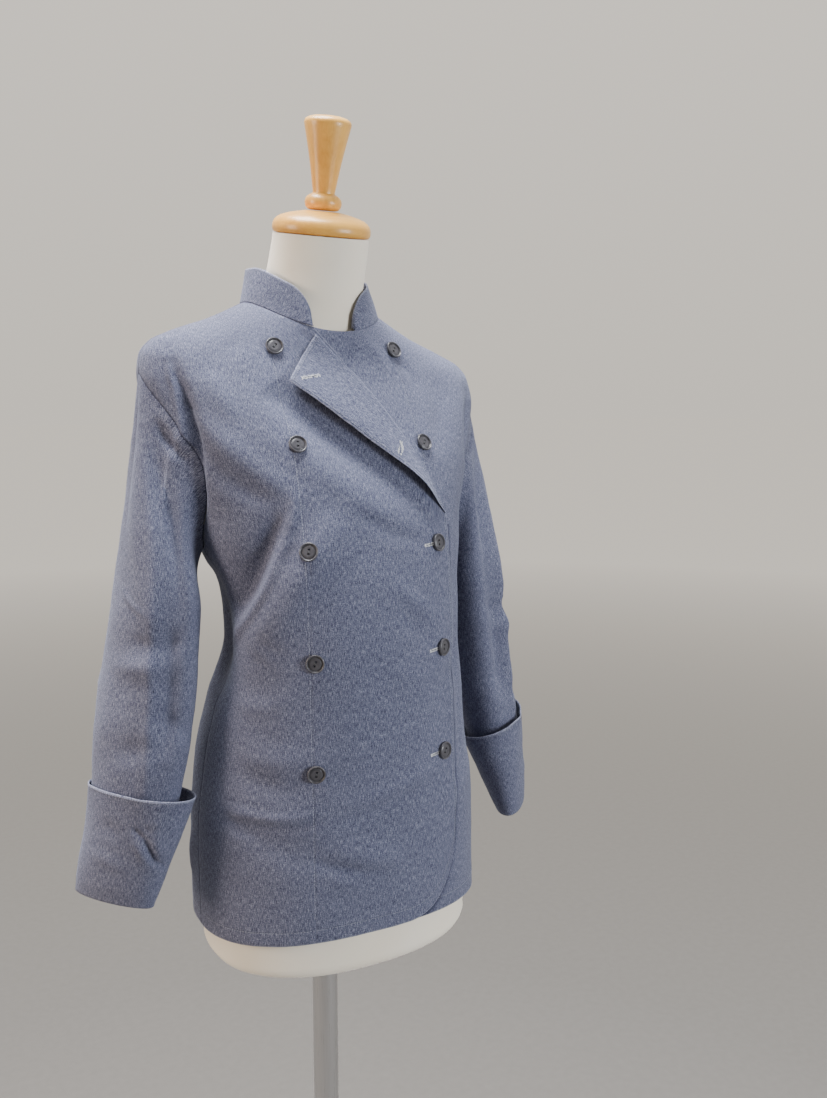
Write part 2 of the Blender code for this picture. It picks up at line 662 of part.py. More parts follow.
def build_cuff(name, side):
    """A cuff: from the fold at the wrist up to the free edge, moved out off the sleeve."""
    edge = dict(zip(CUFF_COLUMNS, CUFFS[side]))
    turns = np.arange(SLEEVE_SIDES)[None, :] * 2 * np.pi / SLEEVE_SIDES
    part = np.array(CUFF_PARTS)[:, None]
    wrist = SLEEVE[-1][0]
    top = edge["step"] - edge["climb"] * np.cos(turns - np.radians(edge["climb_turn"]))
    steps = wrist + (top - wrist) * part
    gap = 2 * SEAM + CUFF_AIR * ramp(part, 0.0, CUFF_PARTS[1]) + edge["flare"] * part ** 1.3
    loose = edge["tight"] + (1 - edge["tight"]) * np.cos((turns - CUFF_OPEN) / 2) ** 4
    gap = gap * (1 - (1 - loose) * ramp(steps, 6.0, 4.6))
    inner = sleeve(turns, steps, side, gap)
    outer = sleeve(turns, steps, side, gap + DOUBLE)
    add_object(name, wall(name, inner, outer, True), CHAMBRAY, CHAMBRAY_ROUGHNESS)


# ---------------------------------------------------------------- buttons

def button_seat(turn, height, under):
    """Where a button's underside lies on curved cloth, and which way it faces."""
    middle = body(turn, height, under)
    normal = surface_normal(body, turn, height)
    angles = np.radians(np.arange(0, 360, 30))
    turn_reach = np.linalg.norm(body(turn + 0.01, height) - body(turn - 0.01, height)) / 0.02
    rise_reach = np.linalg.norm(body(turn, height + 0.001) - body(turn, height - 0.001)) / 0.002
    radius = BUTTON_RADIUS * BUTTON_PROFILE[0][0]
    around = body(turn + radius * np.cos(angles) / turn_reach,
                  height + radius * np.sin(angles) / rise_reach, under)
    highest = max(0.0, float(np.max((around - middle) @ normal)))
    return Vector(middle + normal * (highest + BUTTON_REST)), Vector(normal)


def build_buttons():
    """Ten flat buttons with a raised rim, each lying on the cloth under it."""
    for row, (z, right_x, left_x) in enumerate(BUTTON_ROWS, start=1):
        for name, x in (("right", right_x), ("left", left_x)):
            turn, height = front_place(x, z)
            on_right_front = name == "right" or row > LAST_OPEN_ROW
            under = CLOTH + float(right_front_out(turn, height)) * on_right_front
            spot, normal = button_seat(turn, height, under)
            face = normal.to_track_quat("Z", "Y").to_matrix().to_4x4()
            label = f"button_{name}_{row}"
            profile = [(BUTTON_RADIUS * share, level) for share, level in BUTTON_PROFILE]
            mesh = turned(label, profile, 14, Matrix.Translation(spot) @ face)
            add_object(label, mesh, (0.045, 0.047, 0.055), 0.35)


# ---------------------------------------------------------------- dress form

def neck_ring(row, turns):
    height, half, y_front, y_widest, y_back, tilt = row
    end = np.where(np.cos(turns) > 0, y_front, y_back)
    y = y_widest + (end - y_widest) * np.abs(np.cos(turns))
    z = height + np.tan(np.radians(tilt)) * (y - y_widest)
    x = half * np.sin(turns) + NECK_SHIFT * ramp(height, 1.440, 1.370)
    return np.stack([x, y, z], axis=-1)


FORM_SIDES = 32


def build_form():
    turns = np.arange(FORM_SIDES) * 2 * np.pi / FORM_SIDES
    gaps = table(FORM_GAPS, ["height", "gap"])
    rings = []
    bottom = smooth_body(turns, np.full(FORM_SIDES, HEM))
    for drop, shrink in ((0.0, 0.90), (0.004, 0.965), (0.014, 1.0)):
        inset = bottom - surface_normal(smooth_body, turns, HEM + 0.002) * 0.009
        middle = np.array([0.0, -0.030, 0.0])
        ring = middle + (inset - middle) * shrink
        ring[:, 2] = FORM_BOTTOM + drop
        rings.append(ring)
    for height in np.concatenate([np.linspace(HEM + 0.02, UNDERARM, 12),
                                  np.linspace(UNDERARM, 1.308, 8)[1:],
                                  [1.323, 1.333, 1.342, 1.351, 1.361, 1.367]]):
        gap = smooth_column(gaps["height"], gaps["gap"], height)
        from_side = (np.degrees(np.arccos(np.cos(turns))) - 90) / SHOULDER_RIDGE_SPAN
        on_ridge = np.exp(-from_side ** 2)
        on_ridge = on_ridge * ramp(height, 1.328, 1.342) * ramp(height, 1.372, 1.362)
        gap = (gap + (SHOULDER_REST - gap) * on_ridge)[:, None]
        place = smooth_body(turns, np.full(FORM_SIDES, height))
        normal = surface_normal(smooth_body, turns, min(height, NECK - 0.002))
        rings.append(place - normal * gap)
    for values in NECK_RINGS:
        rings.append(neck_ring(values, turns))
    shape = bmesh.new()
    loops = [[shape.verts.new(tuple(point)) for point in ring] for ring in rings]
    for low, high in zip(loops, loops[1:]):
        for k in range(FORM_SIDES):
            n = (k + 1) % FORM_SIDES
            shape.faces.new((low[k], low[n], high[n], high[k]))
    shape.faces.new(loops[0][::-1])
    shape.faces.new(loops[-1])
    bmesh.ops.recalc_face_normals(shape, faces=shape.faces[:])
    mesh = bpy.data.meshes.new("form_torso")
    shape.to_mesh(mesh)
    shape.free()
    add_object("form_torso", mesh, (0.80, 0.76, 0.68), 0.85)


def build_cap_and_knob():
    lean = Matrix.Rotation(NECK_TILT, 4, "X")
    place = Matrix.Translation(NECK_TOP) @ lean
    cap = turned("neck_cap", CAP_PROFILE, 32, place)
    add_object("neck_cap", cap, WOOD, 0.4)
    knob = turned("knob", KNOB_PROFILE, 20, place)
    add_object("knob", knob, WOOD, 0.4)


def build_stand():
    base = turned("stand_base", BASE_PROFILE, 40)
    add_object("stand_base", base, (0.03, 0.03, 0.032), 0.45, 0.6)
    profile = [(POLE_RADIUS, BASE_PROFILE[-1][1] + SEAM), (POLE_RADIUS, FORM_BOTTOM - SEAM)]
    pole = turned("stand_pole", profile, 24)
    add_object("stand_pole", pole, (0.55, 0.55, 0.57), 0.25, 1.0)


for old in list(bpy.data.objects):
    bpy.data.objects.remove(old, do_unlink=True)
build_fronts()
build_turned_corner()
build_back()
build_collar()
for sleeve_name, sleeve_side in (("right", -1), ("left", 1)):
    build_sleeve(f"sleeve_{sleeve_name}", sleeve_side)
    build_cuff(f"cuff_{sleeve_name}", sleeve_side)
build_buttons()
build_form()
build_cap_and_knob()
build_stand()
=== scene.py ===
import bmesh
import bpy
import numpy as np
from mathutils import Matrix, Vector, noise


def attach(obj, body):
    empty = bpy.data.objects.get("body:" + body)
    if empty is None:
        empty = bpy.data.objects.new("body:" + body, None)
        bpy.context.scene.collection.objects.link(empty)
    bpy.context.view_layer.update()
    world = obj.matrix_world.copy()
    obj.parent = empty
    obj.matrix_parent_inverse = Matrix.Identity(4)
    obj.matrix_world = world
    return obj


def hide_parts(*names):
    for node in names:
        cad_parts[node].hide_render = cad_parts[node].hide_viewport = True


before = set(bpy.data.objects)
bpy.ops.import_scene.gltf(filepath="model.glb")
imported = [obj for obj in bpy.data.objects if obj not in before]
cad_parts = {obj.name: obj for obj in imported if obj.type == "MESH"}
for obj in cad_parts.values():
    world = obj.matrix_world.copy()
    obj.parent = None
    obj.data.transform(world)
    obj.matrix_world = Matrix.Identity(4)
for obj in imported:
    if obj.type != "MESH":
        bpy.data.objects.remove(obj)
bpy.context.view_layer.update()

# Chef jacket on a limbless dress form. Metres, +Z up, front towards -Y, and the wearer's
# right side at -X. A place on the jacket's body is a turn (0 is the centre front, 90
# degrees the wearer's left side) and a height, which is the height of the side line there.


# ---------------------------------------------------------------- camera, floor, light
# A plain pale floor that fades into a pale backdrop, one large cool lamp overhead, a warm
# one at the side like a window, and a cool one low in front that opens the shade.

CAMERA_PLACE = (-0.4783, -1.0287, 1.283)
CAMERA_DOWN = np.radians(7.9)
CAMERA_TURN = np.radians(-30.0)


def put_in_scene(name, data):
    """A new object that holds a mesh, a lamp or a camera."""
    item = bpy.data.objects.new(name, data)
    bpy.context.scene.collection.objects.link(item)
    return item


lens = bpy.data.cameras.new("camera")
lens.lens = 35.0
lens.sensor_width = 36.0
lens.dof.use_dof = False
camera = put_in_scene("camera", lens)
camera.location = CAMERA_PLACE
camera.rotation_euler = (np.pi / 2 - CAMERA_DOWN, 0.0, CAMERA_TURN)
bpy.context.scene.camera = camera


class Nodes:
    """Short ways to add, wire and set the nodes of a finish or of the room's light."""

    def __init__(self, tree):
        self.tree = tree

    def put(self, socket, value):
        if isinstance(value, bpy.types.NodeSocket):
            self.tree.links.new(value, socket)
        else:
            socket.default_value = value

    def add(self, kind, sockets=(), **settings):
        node = self.tree.nodes.new("ShaderNode" + kind)
        for key, value in settings.items():
            setattr(node, key, value)
        for key, value in dict(sockets).items():
            self.put(node.inputs[key], value)
        return node

    def math(self, operation, a, b=0.5, clamp=False):
        return self.add("Math", {0: a, 1: b}, operation=operation, use_clamp=clamp).outputs[0]

    def scaled(self, value, factor, shift):
        return self.math("ADD", self.math("MULTIPLY", value, factor), shift)

    def noise(self, place, scale, detail, **more):
        """Noise with this many grains to the metre."""
        sockets = {"Vector": place, "Scale": scale, "Detail": detail, **more}
        return self.add("TexNoise", sockets).outputs["Fac"]

    def stretched_noise(self, place, scales, detail, **more):
        """Noise with a different number of grains to the metre along each axis."""
        stretched = self.add("Mapping", {"Vector": place, "Scale": scales})
        return self.noise(stretched.outputs[0], 1.0, detail, **more)

    def tones(self, value, *stops):
        """A ramp of colours; each stop is a position and a colour."""
        node = self.add("ValToRGB", {0: value})
        for position, _ in stops[1:-1]:
            node.color_ramp.elements.new(position)
        for element, (position, colour) in zip(node.color_ramp.elements, stops):
            element.position = position
            element.color = (*colour, 1.0)
        return node.outputs[0]

    def finish(self, **sockets):
        """Sets or links the shader's own sockets, whose spaces are written as _ here."""
        shader = self.tree.nodes["Principled BSDF"]
        for name, value in sockets.items():
            self.put(shader.inputs[name.replace("_", " ")], value)

    def relief(self, height, strength, depth):
        """Gives the shader a fine relief: the height times a depth in metres."""
        bump = self.add("Bump", {"Height": height, "Strength": strength, "Distance": depth})
        self.finish(Normal=bump.outputs[0])


def new_material(name):
    material = bpy.data.materials.new(name)
    material.use_nodes = True
    return material, Nodes(material.node_tree)


BACKDROP_WAY = (0.5, 0.866, 0.0)
FRONT_LEVEL, BACK_LEVEL, TOP_LEVEL = 0.11, 0.50, 0.30
BACK_START, BACK_END = -0.45, 0.95
LIGHT = 1.30
BLACK = (0.0, 0.0, 0.0)
ROOM_TINT = (1.0, 0.930, 0.830)
FLOOR_TINT = (1.0, 0.965, 0.92)
FLOOR_TONE, FLOOR_GRAIN = 0.22, 0.03
FLOOR_LIGHT = FRONT_LEVEL + 0.30 * BACK_LEVEL + 0.67 * TOP_LEVEL
FLOOR_REACH = 60.0
FADE_START, FADE_SLOPE = 1.2, 0.16   # the floor fades into the backdrop beyond this circle


def room_level(nodes, way):
    """How pale the room is in a direction, apart from what comes from above."""
    facing = nodes.add("VectorMath", {0: way, 1: BACKDROP_WAY}, operation="DOT_PRODUCT")
    behind = nodes.add("MapRange", {0: facing.outputs["Value"], 1: BACK_START, 2: BACK_END},
                       interpolation_type="SMOOTHSTEP").outputs[0]
    return nodes.scaled(behind, BACK_LEVEL, FRONT_LEVEL)


def floor_material():
    """Pale paint that glows a little far away, so that it meets the backdrop unseen."""
    material, nodes = new_material("floor_paint")
    place = nodes.add("NewGeometry").outputs["Position"]
    away = nodes.add("VectorMath", {0: place}, operation="LENGTH").outputs["Value"]
    way = nodes.add("VectorMath", {0: place}, operation="NORMALIZE").outputs["Vector"]
    missing = nodes.math("SUBTRACT", room_level(nodes, way), FLOOR_TONE * FLOOR_LIGHT, True)
    far = nodes.math("MULTIPLY", nodes.math("SUBTRACT", away, FADE_START), FADE_SLOPE, True)
    glow = nodes.math("MULTIPLY", nodes.math("MULTIPLY", missing, far), LIGHT)
    grain = nodes.scaled(nodes.noise(place, 60.0, 3.0), FLOOR_GRAIN, FLOOR_TONE - FLOOR_GRAIN / 2)
    nodes.finish(Base_Color=nodes.tones(grain, (0.0, BLACK), (1.0, FLOOR_TINT)),
                 Emission_Color=(*ROOM_TINT, 1.0), Emission_Strength=glow,
                 Roughness=0.9, Specular_IOR_Level=0.0)
    return material


floor_mesh = bpy.data.meshes.new("floor")
floor_mesh.from_pydata(
    [(x * FLOOR_REACH, y * FLOOR_REACH, 0.0) for x, y in ((-1, -1), (1, -1), (1, 1), (-1, 1))],
    [], [(0, 1, 2, 3)])
floor_mesh.materials.append(floor_material())
floor = put_in_scene("floor", floor_mesh)


def studio_light():
    """Pale light all round: brighter overhead, and brighter behind the object."""
    world = bpy.data.worlds.new("studio")
    bpy.context.scene.world = world
    world.use_nodes = True
    nodes = Nodes(world.node_tree)
    way = nodes.add("TexCoord").outputs["Generated"]
    height = nodes.add("SeparateXYZ", {0: way}).outputs[2]
    above = nodes.math("MULTIPLY", height, TOP_LEVEL, clamp=True)
    level = nodes.math("ADD", room_level(nodes, way), above)
    background = world.node_tree.nodes["Background"]
    nodes.put(background.inputs["Color"], nodes.tones(level, (0.0, BLACK), (1.0, ROOM_TINT)))
    nodes.put(background.inputs["Strength"], LIGHT)


studio_light()


def lamp(name, place, target, size, power, colour):
    data = bpy.data.lights.new(name, "AREA")
    data.shape = "RECTANGLE"
    data.size, data.size_y = size
    data.energy = power
    data.color = colour
    item = put_in_scene(name, data)
    item.location = place
    aim = Vector(target) - Vector(place)
    item.rotation_euler = aim.to_track_quat("-Z", "Y").to_euler()


lamp("key", (-0.22, 0.18, 3.1), (0.0, 0.0, 1.15), (1.1, 1.1), 142.0, (0.955, 0.97, 1.0))
lamp("window", (-2.2, 0.25, 1.5), (0.0, 0.0, 1.1), (0.8, 1.2), 40.0, (1.0, 0.82, 0.66))
lamp("front", (1.2, -2.0, 1.3), (0.0, 0.0, 1.05), (0.8, 0.8), 45.0, (0.91, 0.95, 1.0))


# ---------------------------------------------------------------- back
# The back panel: one layer of chambray between the side seams, the armholes and the
# collar, pulled in at the waist, with soft folds from the shoulder blades.

CLOTH = 0.0012            # the cloth's outer face, over the body's own surface
THIN = 0.0007             # the cloth's own thickness, inside the solid's wall
HEM, NECK = 0.755, 1.380
END_MARGIN = 0.002        # the way out is taken this far inside both ends
NECK_CALM = 0.03          # folds and wrinkles fade out this far below the collar
UNDERARM, SHOULDER_TIP = 1.140, 1.310
# The left shoulder hangs lower, and the neck stands a little to the right.
SHOULDER_DROP, DROP_X, DROP_HEIGHT = 0.018, (-0.02, 0.17), (1.20, 1.32)
NECK_SHIFT, NECK_SHIFT_START = -0.0040, 1.335
ARMHOLE_TURN, ARMHOLE_TURN_BACK = np.radians(25), np.radians(24)

# Rings of the body: heights at the side, front and back, half width, the depths of the
# front, the widest place and the back, and the squareness.
BODY_COLUMNS = "side front back half y_front y_widest y_back power".split()
BODY = [
    (0.755, 0.763, 0.758, 0.1520, -0.1455, -0.032, 0.086, 2.30),
    (0.800, 0.804, 0.802, 0.1515, -0.1465, -0.030, 0.088, 2.30),
    (0.860, 0.862, 0.860, 0.1495, -0.1470, -0.028, 0.094, 2.30),
    (0.920, 0.920, 0.920, 0.1425, -0.1475, -0.026, 0.096, 2.30),
    (0.980, 0.980, 0.980, 0.1330, -0.1475, -0.034, 0.080, 2.30),
    (1.045, 1.045, 1.045, 0.1235, -0.1475, -0.046, 0.056, 2.30),
    (1.100, 1.100, 1.100, 0.1260, -0.1440, -0.040, 0.062, 2.30),
    (1.140, 1.140, 1.140, 0.1360, -0.1380, -0.024, 0.086, 2.30),
    (1.180, 1.180, 1.180, 0.1460, -0.1290, -0.010, 0.102, 2.30),
    (1.230, 1.225, 1.230, 0.1640, -0.1130, -0.002, 0.106, 2.25),
    (1.275, 1.262, 1.272, 0.1780, -0.0940, 0.004, 0.102, 2.20),
    (1.308, 1.288, 1.300, 0.1850, -0.0780, 0.008, 0.096, 2.15),
    (1.327, 1.305, 1.320, 0.1825, -0.0670, 0.010, 0.090, 2.10),
    (1.341, 1.317, 1.337, 0.1715, -0.0605, 0.011, 0.085, 2.05),
    (1.350, 1.327, 1.350, 0.1510, -0.0565, 0.011, 0.080, 2.00),
    (1.363, 1.340, 1.367, 0.1120, -0.0535, 0.010, 0.074, 2.00),
    (1.380, 1.352, 1.386, 0.0730, -0.0515, 0.009, 0.069, 2.00),
]

# Folds of the body: places (turn, height) along the fold, half width, and rise.
BODY_FOLDS = [
    # the solid's own folds
    (((-14, 1.175), (-64, 1.040)), 0.020, 0.0070),
    (((-34, 1.175), (-80, 1.075)), 0.020, -0.0080),
    (((-22, 0.850), (8, 0.825)), 0.014, 0.0030),
    (((-60, 0.880), (-20, 0.840)), 0.016, -0.0030),
    (((20, 0.990), (55, 1.030)), 0.016, -0.0030),
    (((24, 0.870), (62, 0.905)), 0.016, 0.0028),
    (((-66, 1.330), (-58, 1.215)), 0.012, -0.0050),
    (((62, 1.325), (56, 1.220)), 0.012, -0.0045),
    (((38, 1.345), (30, 1.235)), 0.013, -0.0028),
    (((112, 1.230), (150, 1.130)), 0.020, 0.0050),
    (((-116, 1.225), (-146, 1.120)), 0.020, 0.0055),
    (((-100, 0.985), (-106, 1.125)), 0.030, -0.0150),
    (((100, 0.985), (106, 1.125)), 0.030, -0.0130),
    (((128, 1.030), (168, 1.015)), 0.018, -0.0045),
    (((-124, 1.040), (-172, 1.012)), 0.018, -0.0050),
    (((140, 0.880), (196, 0.850)), 0.020, 0.0035),
    # the edge where the chest turns in to the armhole, its hollow, and the drag below
    (((-59, 1.283), (-54, 1.261), (-46, 1.239), (-39, 1.215), (-31, 1.193)), 0.0130, 0.0036),
    (((-58, 1.226), (-50, 1.209), (-42, 1.197), (-36, 1.186)), 0.0100, -0.0040),
    (((-29, 1.205), (-32, 1.178), (-39, 1.149), (-49, 1.117), (-64, 1.081), (-86, 1.048)),
     0.0056, 0.0048),
    (((-36, 1.186), (-42, 1.160), (-50, 1.135), (-62, 1.107), (-80, 1.080)), 0.0095, -0.0062),
    # the valley beside the armhole, and the small dart of cloth that starts in it
    (((-65, 1.327), (-62, 1.300), (-65, 1.263), (-69, 1.229), (-77, 1.189)), 0.0036, 0.0034),
    (((-61, 1.324), (-58, 1.297), (-60, 1.260), (-64, 1.226), (-71, 1.190), (-80, 1.160)),
     0.0060, -0.0092),
    (((-56, 1.310), (-53, 1.280), (-54, 1.248), (-58, 1.215)), 0.0130, -0.0012),
    (((-46, 1.322), (-43, 1.295), (-41, 1.262)), 0.0100, 0.0020),
    (((-61, 1.281), (-54, 1.281)), 0.0022, -0.0012),
    # the hollow under the turned corner's edge, and the swell below it
    (((-28, 1.312), (-23, 1.300), (-8, 1.253), (10, 1.206), (30, 1.160)), 0.0150, -0.0092),
    (((-34, 1.262), (-20, 1.224), (-4, 1.184), (10, 1.152)), 0.0140, 0.0028),
    # the hollow beside the free edge
    (((44, 1.150), (48, 1.100), (49, 1.030), (45, 0.960), (42, 0.900)), 0.0080, -0.0026),
    # crossways creases at the hip
    (((-67, 0.880), (-48, 0.876), (-34, 0.878), (-23, 0.886)), 0.0036, -0.0030),
    (((-64, 0.890), (-44, 0.886), (-28, 0.890)), 0.0050, 0.0022),
    (((-64, 0.871), (-48, 0.870)), 0.0028, -0.0018),
    (((-19, 0.881), (-5, 0.885), (10, 0.895), (26, 0.901)), 0.0055, -0.0027),
    (((-17, 0.895), (-3, 0.902), (12, 0.912), (26, 0.920)), 0.0070, 0.0023),
    (((-30, 0.843), (-21, 0.835), (-9, 0.823), (2, 0.821)), 0.0052, -0.0034),
    (((-24, 0.822), (-10, 0.810)), 0.0080, 0.0015),
    (((-60, 0.925), (-42, 0.917), (-31, 0.920), (-16, 0.936)), 0.0110, -0.0022),
    (((-62, 0.948), (-44, 0.941), (-26, 0.948)), 0.0130, 0.0020),
    # crossways softness at the waist and under the far buttons
    (((-71, 0.995), (-50, 0.994), (-38, 1.012)), 0.0090, 0.0014),
    (((5, 1.085), (15, 1.067), (26, 1.048)), 0.0085, -0.0018),
    (((6, 1.105), (16, 1.088), (28, 1.072)), 0.0090, 0.0018),
    (((-60, 1.060), (-52, 1.052), (-45, 1.047)), 0.0060, -0.0012),
    (((-10, 1.180), (-3, 1.168), (8, 1.154), (25, 1.142)), 0.0075, -0.0022),
    (((4, 1.181), (9, 1.183)), 0.0018, 0.0006),
    (((0, 1.030), (18, 1.012), (32, 1.010)), 0.0090, 0.0010),
    # below the collar
    (((12, 1.372), (4, 1.352), (-3, 1.326)), 0.0050, -0.0026),
    (((21, 1.376), (19, 1.358), (15, 1.335)), 0.0060, 0.0022),
    (((30, 1.368), (28, 1.350), (26, 1.322)), 0.0060, -0.0020),
    (((-27, 1.377), (-21, 1.370), (-14, 1.362)), 0.0045, -0.0020),
    (((-40, 1.366), (-44, 1.340), (-46, 1.310)), 0.0120, -0.0012),
    # the far armhole
    (((60, 1.312), (57, 1.285), (60, 1.240), (70, 1.195)), 0.0070, -0.0026),
    # hidden side: back drape
    (((150, 1.300), (156, 1.210), (168, 1.120)), 0.0110, 0.0040),
    (((-150, 1.296), (-158, 1.220), (-166, 1.130)), 0.0120, 0.0046),
    (((176, 1.240), (179, 1.150), (176, 1.060)), 0.0100, -0.0036),
    (((118, 1.180), (132, 1.130), (150, 1.105)), 0.0075, -0.0038),
    (((-120, 1.170), (-134, 1.120), (-156, 1.098)), 0.0080, -0.0042),
    (((130, 1.000), (150, 0.985), (172, 0.990)), 0.0065, 0.0030),
    (((-128, 1.005), (-152, 0.990), (-176, 0.994)), 0.0065, 0.0034),
    (((120, 0.900), (150, 0.868), (176, 0.862)), 0.0080, -0.0026),
    (((-118, 0.905), (-146, 0.880), (-170, 0.872)), 0.0080, -0.0028),
    (((100, 0.860), (112, 0.800)), 0.0110, 0.0026),
    (((-98, 0.850), (-108, 0.795)), 0.0110, 0.0030),
]


def smooth_column(keys, values, at):
    """Values between the rows of a table, without overshoot (monotone cubic)."""
    keys, values, at = np.asarray(keys), np.asarray(values), np.asarray(at, float)
    step = np.diff(keys)
    slope = np.diff(values) / step
    tangent = np.empty_like(values)
    tangent[0], tangent[-1] = slope[0], slope[-1]
    for i in range(1, len(values) - 1):
        before, after = slope[i - 1], slope[i]
        tangent[i] = 0.0 if before * after <= 0 else 2 * before * after / (before + after)
    cell = np.clip(np.searchsorted(keys, at, side="right") - 1, 0, len(step) - 1)
    span = step[cell]
    part = np.clip((at - keys[cell]) / span, 0.0, 1.0)
    return (
        values[cell] * (1 + 2 * part) * (1 - part) ** 2
        + tangent[cell] * span * part * (1 - part) ** 2
        + values[cell + 1] * part ** 2 * (3 - 2 * part)
        + tangent[cell + 1] * span * part ** 2 * (part - 1)
    )


def table(rows, columns):
    return {name: [row[i] for row in rows] for i, name in enumerate(columns)}


def ramp(value, start, end):
    """0 before start, 1 after end, and smooth between."""
    part = np.clip((np.asarray(value, float) - start) / (end - start), 0.0, 1.0)
    return part * part * (3 - 2 * part)


def unit(vectors):
    return vectors / np.linalg.norm(vectors, axis=-1, keepdims=True)


def near_path(points, path):
    """Distance of each point to a path of straight steps, and the part along it."""
    best = np.full(points.shape[:-1], np.inf)
    along = np.zeros(points.shape[:-1])
    steps = len(path) - 1
    for i in range(steps):
        start, reach = path[i], path[i + 1] - path[i]
        part = np.clip((points - start) @ reach / (reach @ reach), 0.0, 1.0)
        gap = np.linalg.norm(points - start - part[..., None] * reach, axis=-1)
        closer = gap < best
        best = np.where(closer, gap, best)
        along = np.where(closer, (i + part) / steps, along)
    return best, along


BODY_TABLE = table(BODY, BODY_COLUMNS)


def body_value(name, height):
    return smooth_column(BODY_TABLE["side"], BODY_TABLE[name], height)


def neck_shift(height):
    return NECK_SHIFT * ramp(height, NECK_SHIFT_START, NECK)


def smooth_body(turn, height):
    """The jacket's body without folds, at a turn and a side height."""
    turn, height = np.broadcast_arrays(np.asarray(turn, float), np.asarray(height, float))
    across, ahead = np.sin(turn), np.cos(turn)
    power = body_value("power", height)
    reach = (np.abs(across) ** power + np.abs(ahead) ** power) ** (-1 / power)
    middle = body_value("y_widest", height)
    end = np.where(ahead > 0, body_value("y_front", height), body_value("y_back", height))
    level = np.where(ahead > 0, body_value("front", height), body_value("back", height))
    x = body_value("half", height) * across * reach + neck_shift(height)
    y = middle + (end - middle) * np.abs(ahead) * reach
    z = height + (level - height) * ahead ** 2
    z = z - SHOULDER_DROP * ramp(x, *DROP_X) * ramp(height, *DROP_HEIGHT)
    return np.stack([x, y, z], axis=-1)


def fold_paths(rows, place):
    """The middle line of each fold as points in space."""
    paths = []
    for places, half_width, rise in rows:
        part = np.linspace(0.0, 1.0, 4 * (len(places) - 1) + 5)
        keys = np.linspace(0.0, 1.0, len(places))
        turns = np.interp(part, keys, [np.radians(p[0]) for p in places])
        heights = np.interp(part, keys, [p[1] for p in places])
        paths.append((place(turns, heights), half_width, rise))
    return paths


FOLD_ENDS, FOLD_FADE = (0.02, 0.98), 0.7     # how a fold dies out along its length


def fold_rise(points, paths):
    """How far the folds lift (or sink) each point."""
    rise = np.zeros(points.shape[:-1])
    for path, half_width, height in paths:
        gap, along = near_path(points, path)
        fade = np.sin(np.pi * np.clip(along, *FOLD_ENDS)) ** FOLD_FADE
        rise += height * fade * np.exp(-(gap / half_width) ** 2)
    return rise


def wrinkle(points, sizes):
    """Small unevenness of worn cloth: rows of (wave length, height) and a seed."""
    flat = points.reshape(-1, 3)
    rise = np.zeros(len(flat))
    for seed, (length, height) in enumerate(sizes):
        shift = Vector((7.3 * seed, 3.1, 5.7 * seed))
        rise += height * np.array(
            [noise.noise(Vector(p) / length + shift) for p in flat.tolist()])
    return rise.reshape(points.shape[:-1])


CLOTH_WAVES = [(0.070, 0.0012), (0.030, 0.0005), (0.012, 0.00016)]


def surface_normal(place, turn, height, turn_step=0.004, height_step=0.0015):
    ahead = place(turn + turn_step, height) - place(turn - turn_step, height)
    up = place(turn, height + height_step) - place(turn, height - height_step)
    return unit(np.cross(ahead, up))


BODY_PATHS = fold_paths(BODY_FOLDS, smooth_body)


def body_grid(turn, height):
    """Points of the body with all folds and wrinkles, and the way out at each."""
    turn, height = np.broadcast_arrays(np.asarray(turn, float), np.asarray(height, float))
    inside = np.clip(height, HEM + END_MARGIN, NECK - END_MARGIN)
    normal = surface_normal(smooth_body, turn, inside)
    base = smooth_body(turn, height)
    lift = fold_rise(base, BODY_PATHS) + wrinkle(base, CLOTH_WAVES)
    lift = lift * ramp(height, NECK, NECK - NECK_CALM)
    return base + normal * lift[..., None], normal


def body(turn, height, out=0.0):
    """A place of the body, moved out by a distance."""
    points, normal = body_grid(turn, height)
    return points + normal * np.asarray(out)[..., None]


def arc(points, axis):
    """Length along the rows (axis 1) or columns (axis 0) of a grid, from its start."""
    step = np.linalg.norm(np.diff(points, axis=axis), axis=-1)
    first = np.zeros_like(np.take(step, [0], axis=axis))
    return np.concatenate([first, np.cumsum(step, axis=axis)], axis=axis)


def arc_from_end(points, axis):
    """The same length, from the end."""
    return np.flip(arc(np.flip(points, axis), axis), axis)


def rim_loops(rows, columns, wrap):
    """The edge of a grid as loops of (row, column) and the neighbour further in."""
    if wrap:
        return [
            [((0, c), (1, c)) for c in range(columns)],
            [((rows - 1, c), (rows - 2, c)) for c in reversed(range(columns))],
        ]
    low = [((0, c), (1, c)) for c in range(columns)]
    right = [((r, columns - 1), (r, columns - 2)) for r in range(1, rows)]
    high = [((rows - 1, c), (rows - 2, c)) for c in reversed(range(columns - 1))]
    left = [((r, 0), (r, 1)) for r in reversed(range(1, rows - 1))]
    return [low + right + high + left]


def grid_faces(number, wrap):
    """The four-cornered faces between the numbered points of a grid."""
    low, high = number[:-1], number[1:]
    if wrap:
        quads = np.stack([low, np.roll(low, -1, 1), np.roll(high, -1, 1), high], -1)
    else:
        quads = np.stack([low[:, :-1], low[:, 1:], high[:, 1:], high[:, :-1]], -1)
    return quads.reshape(-1, 4)


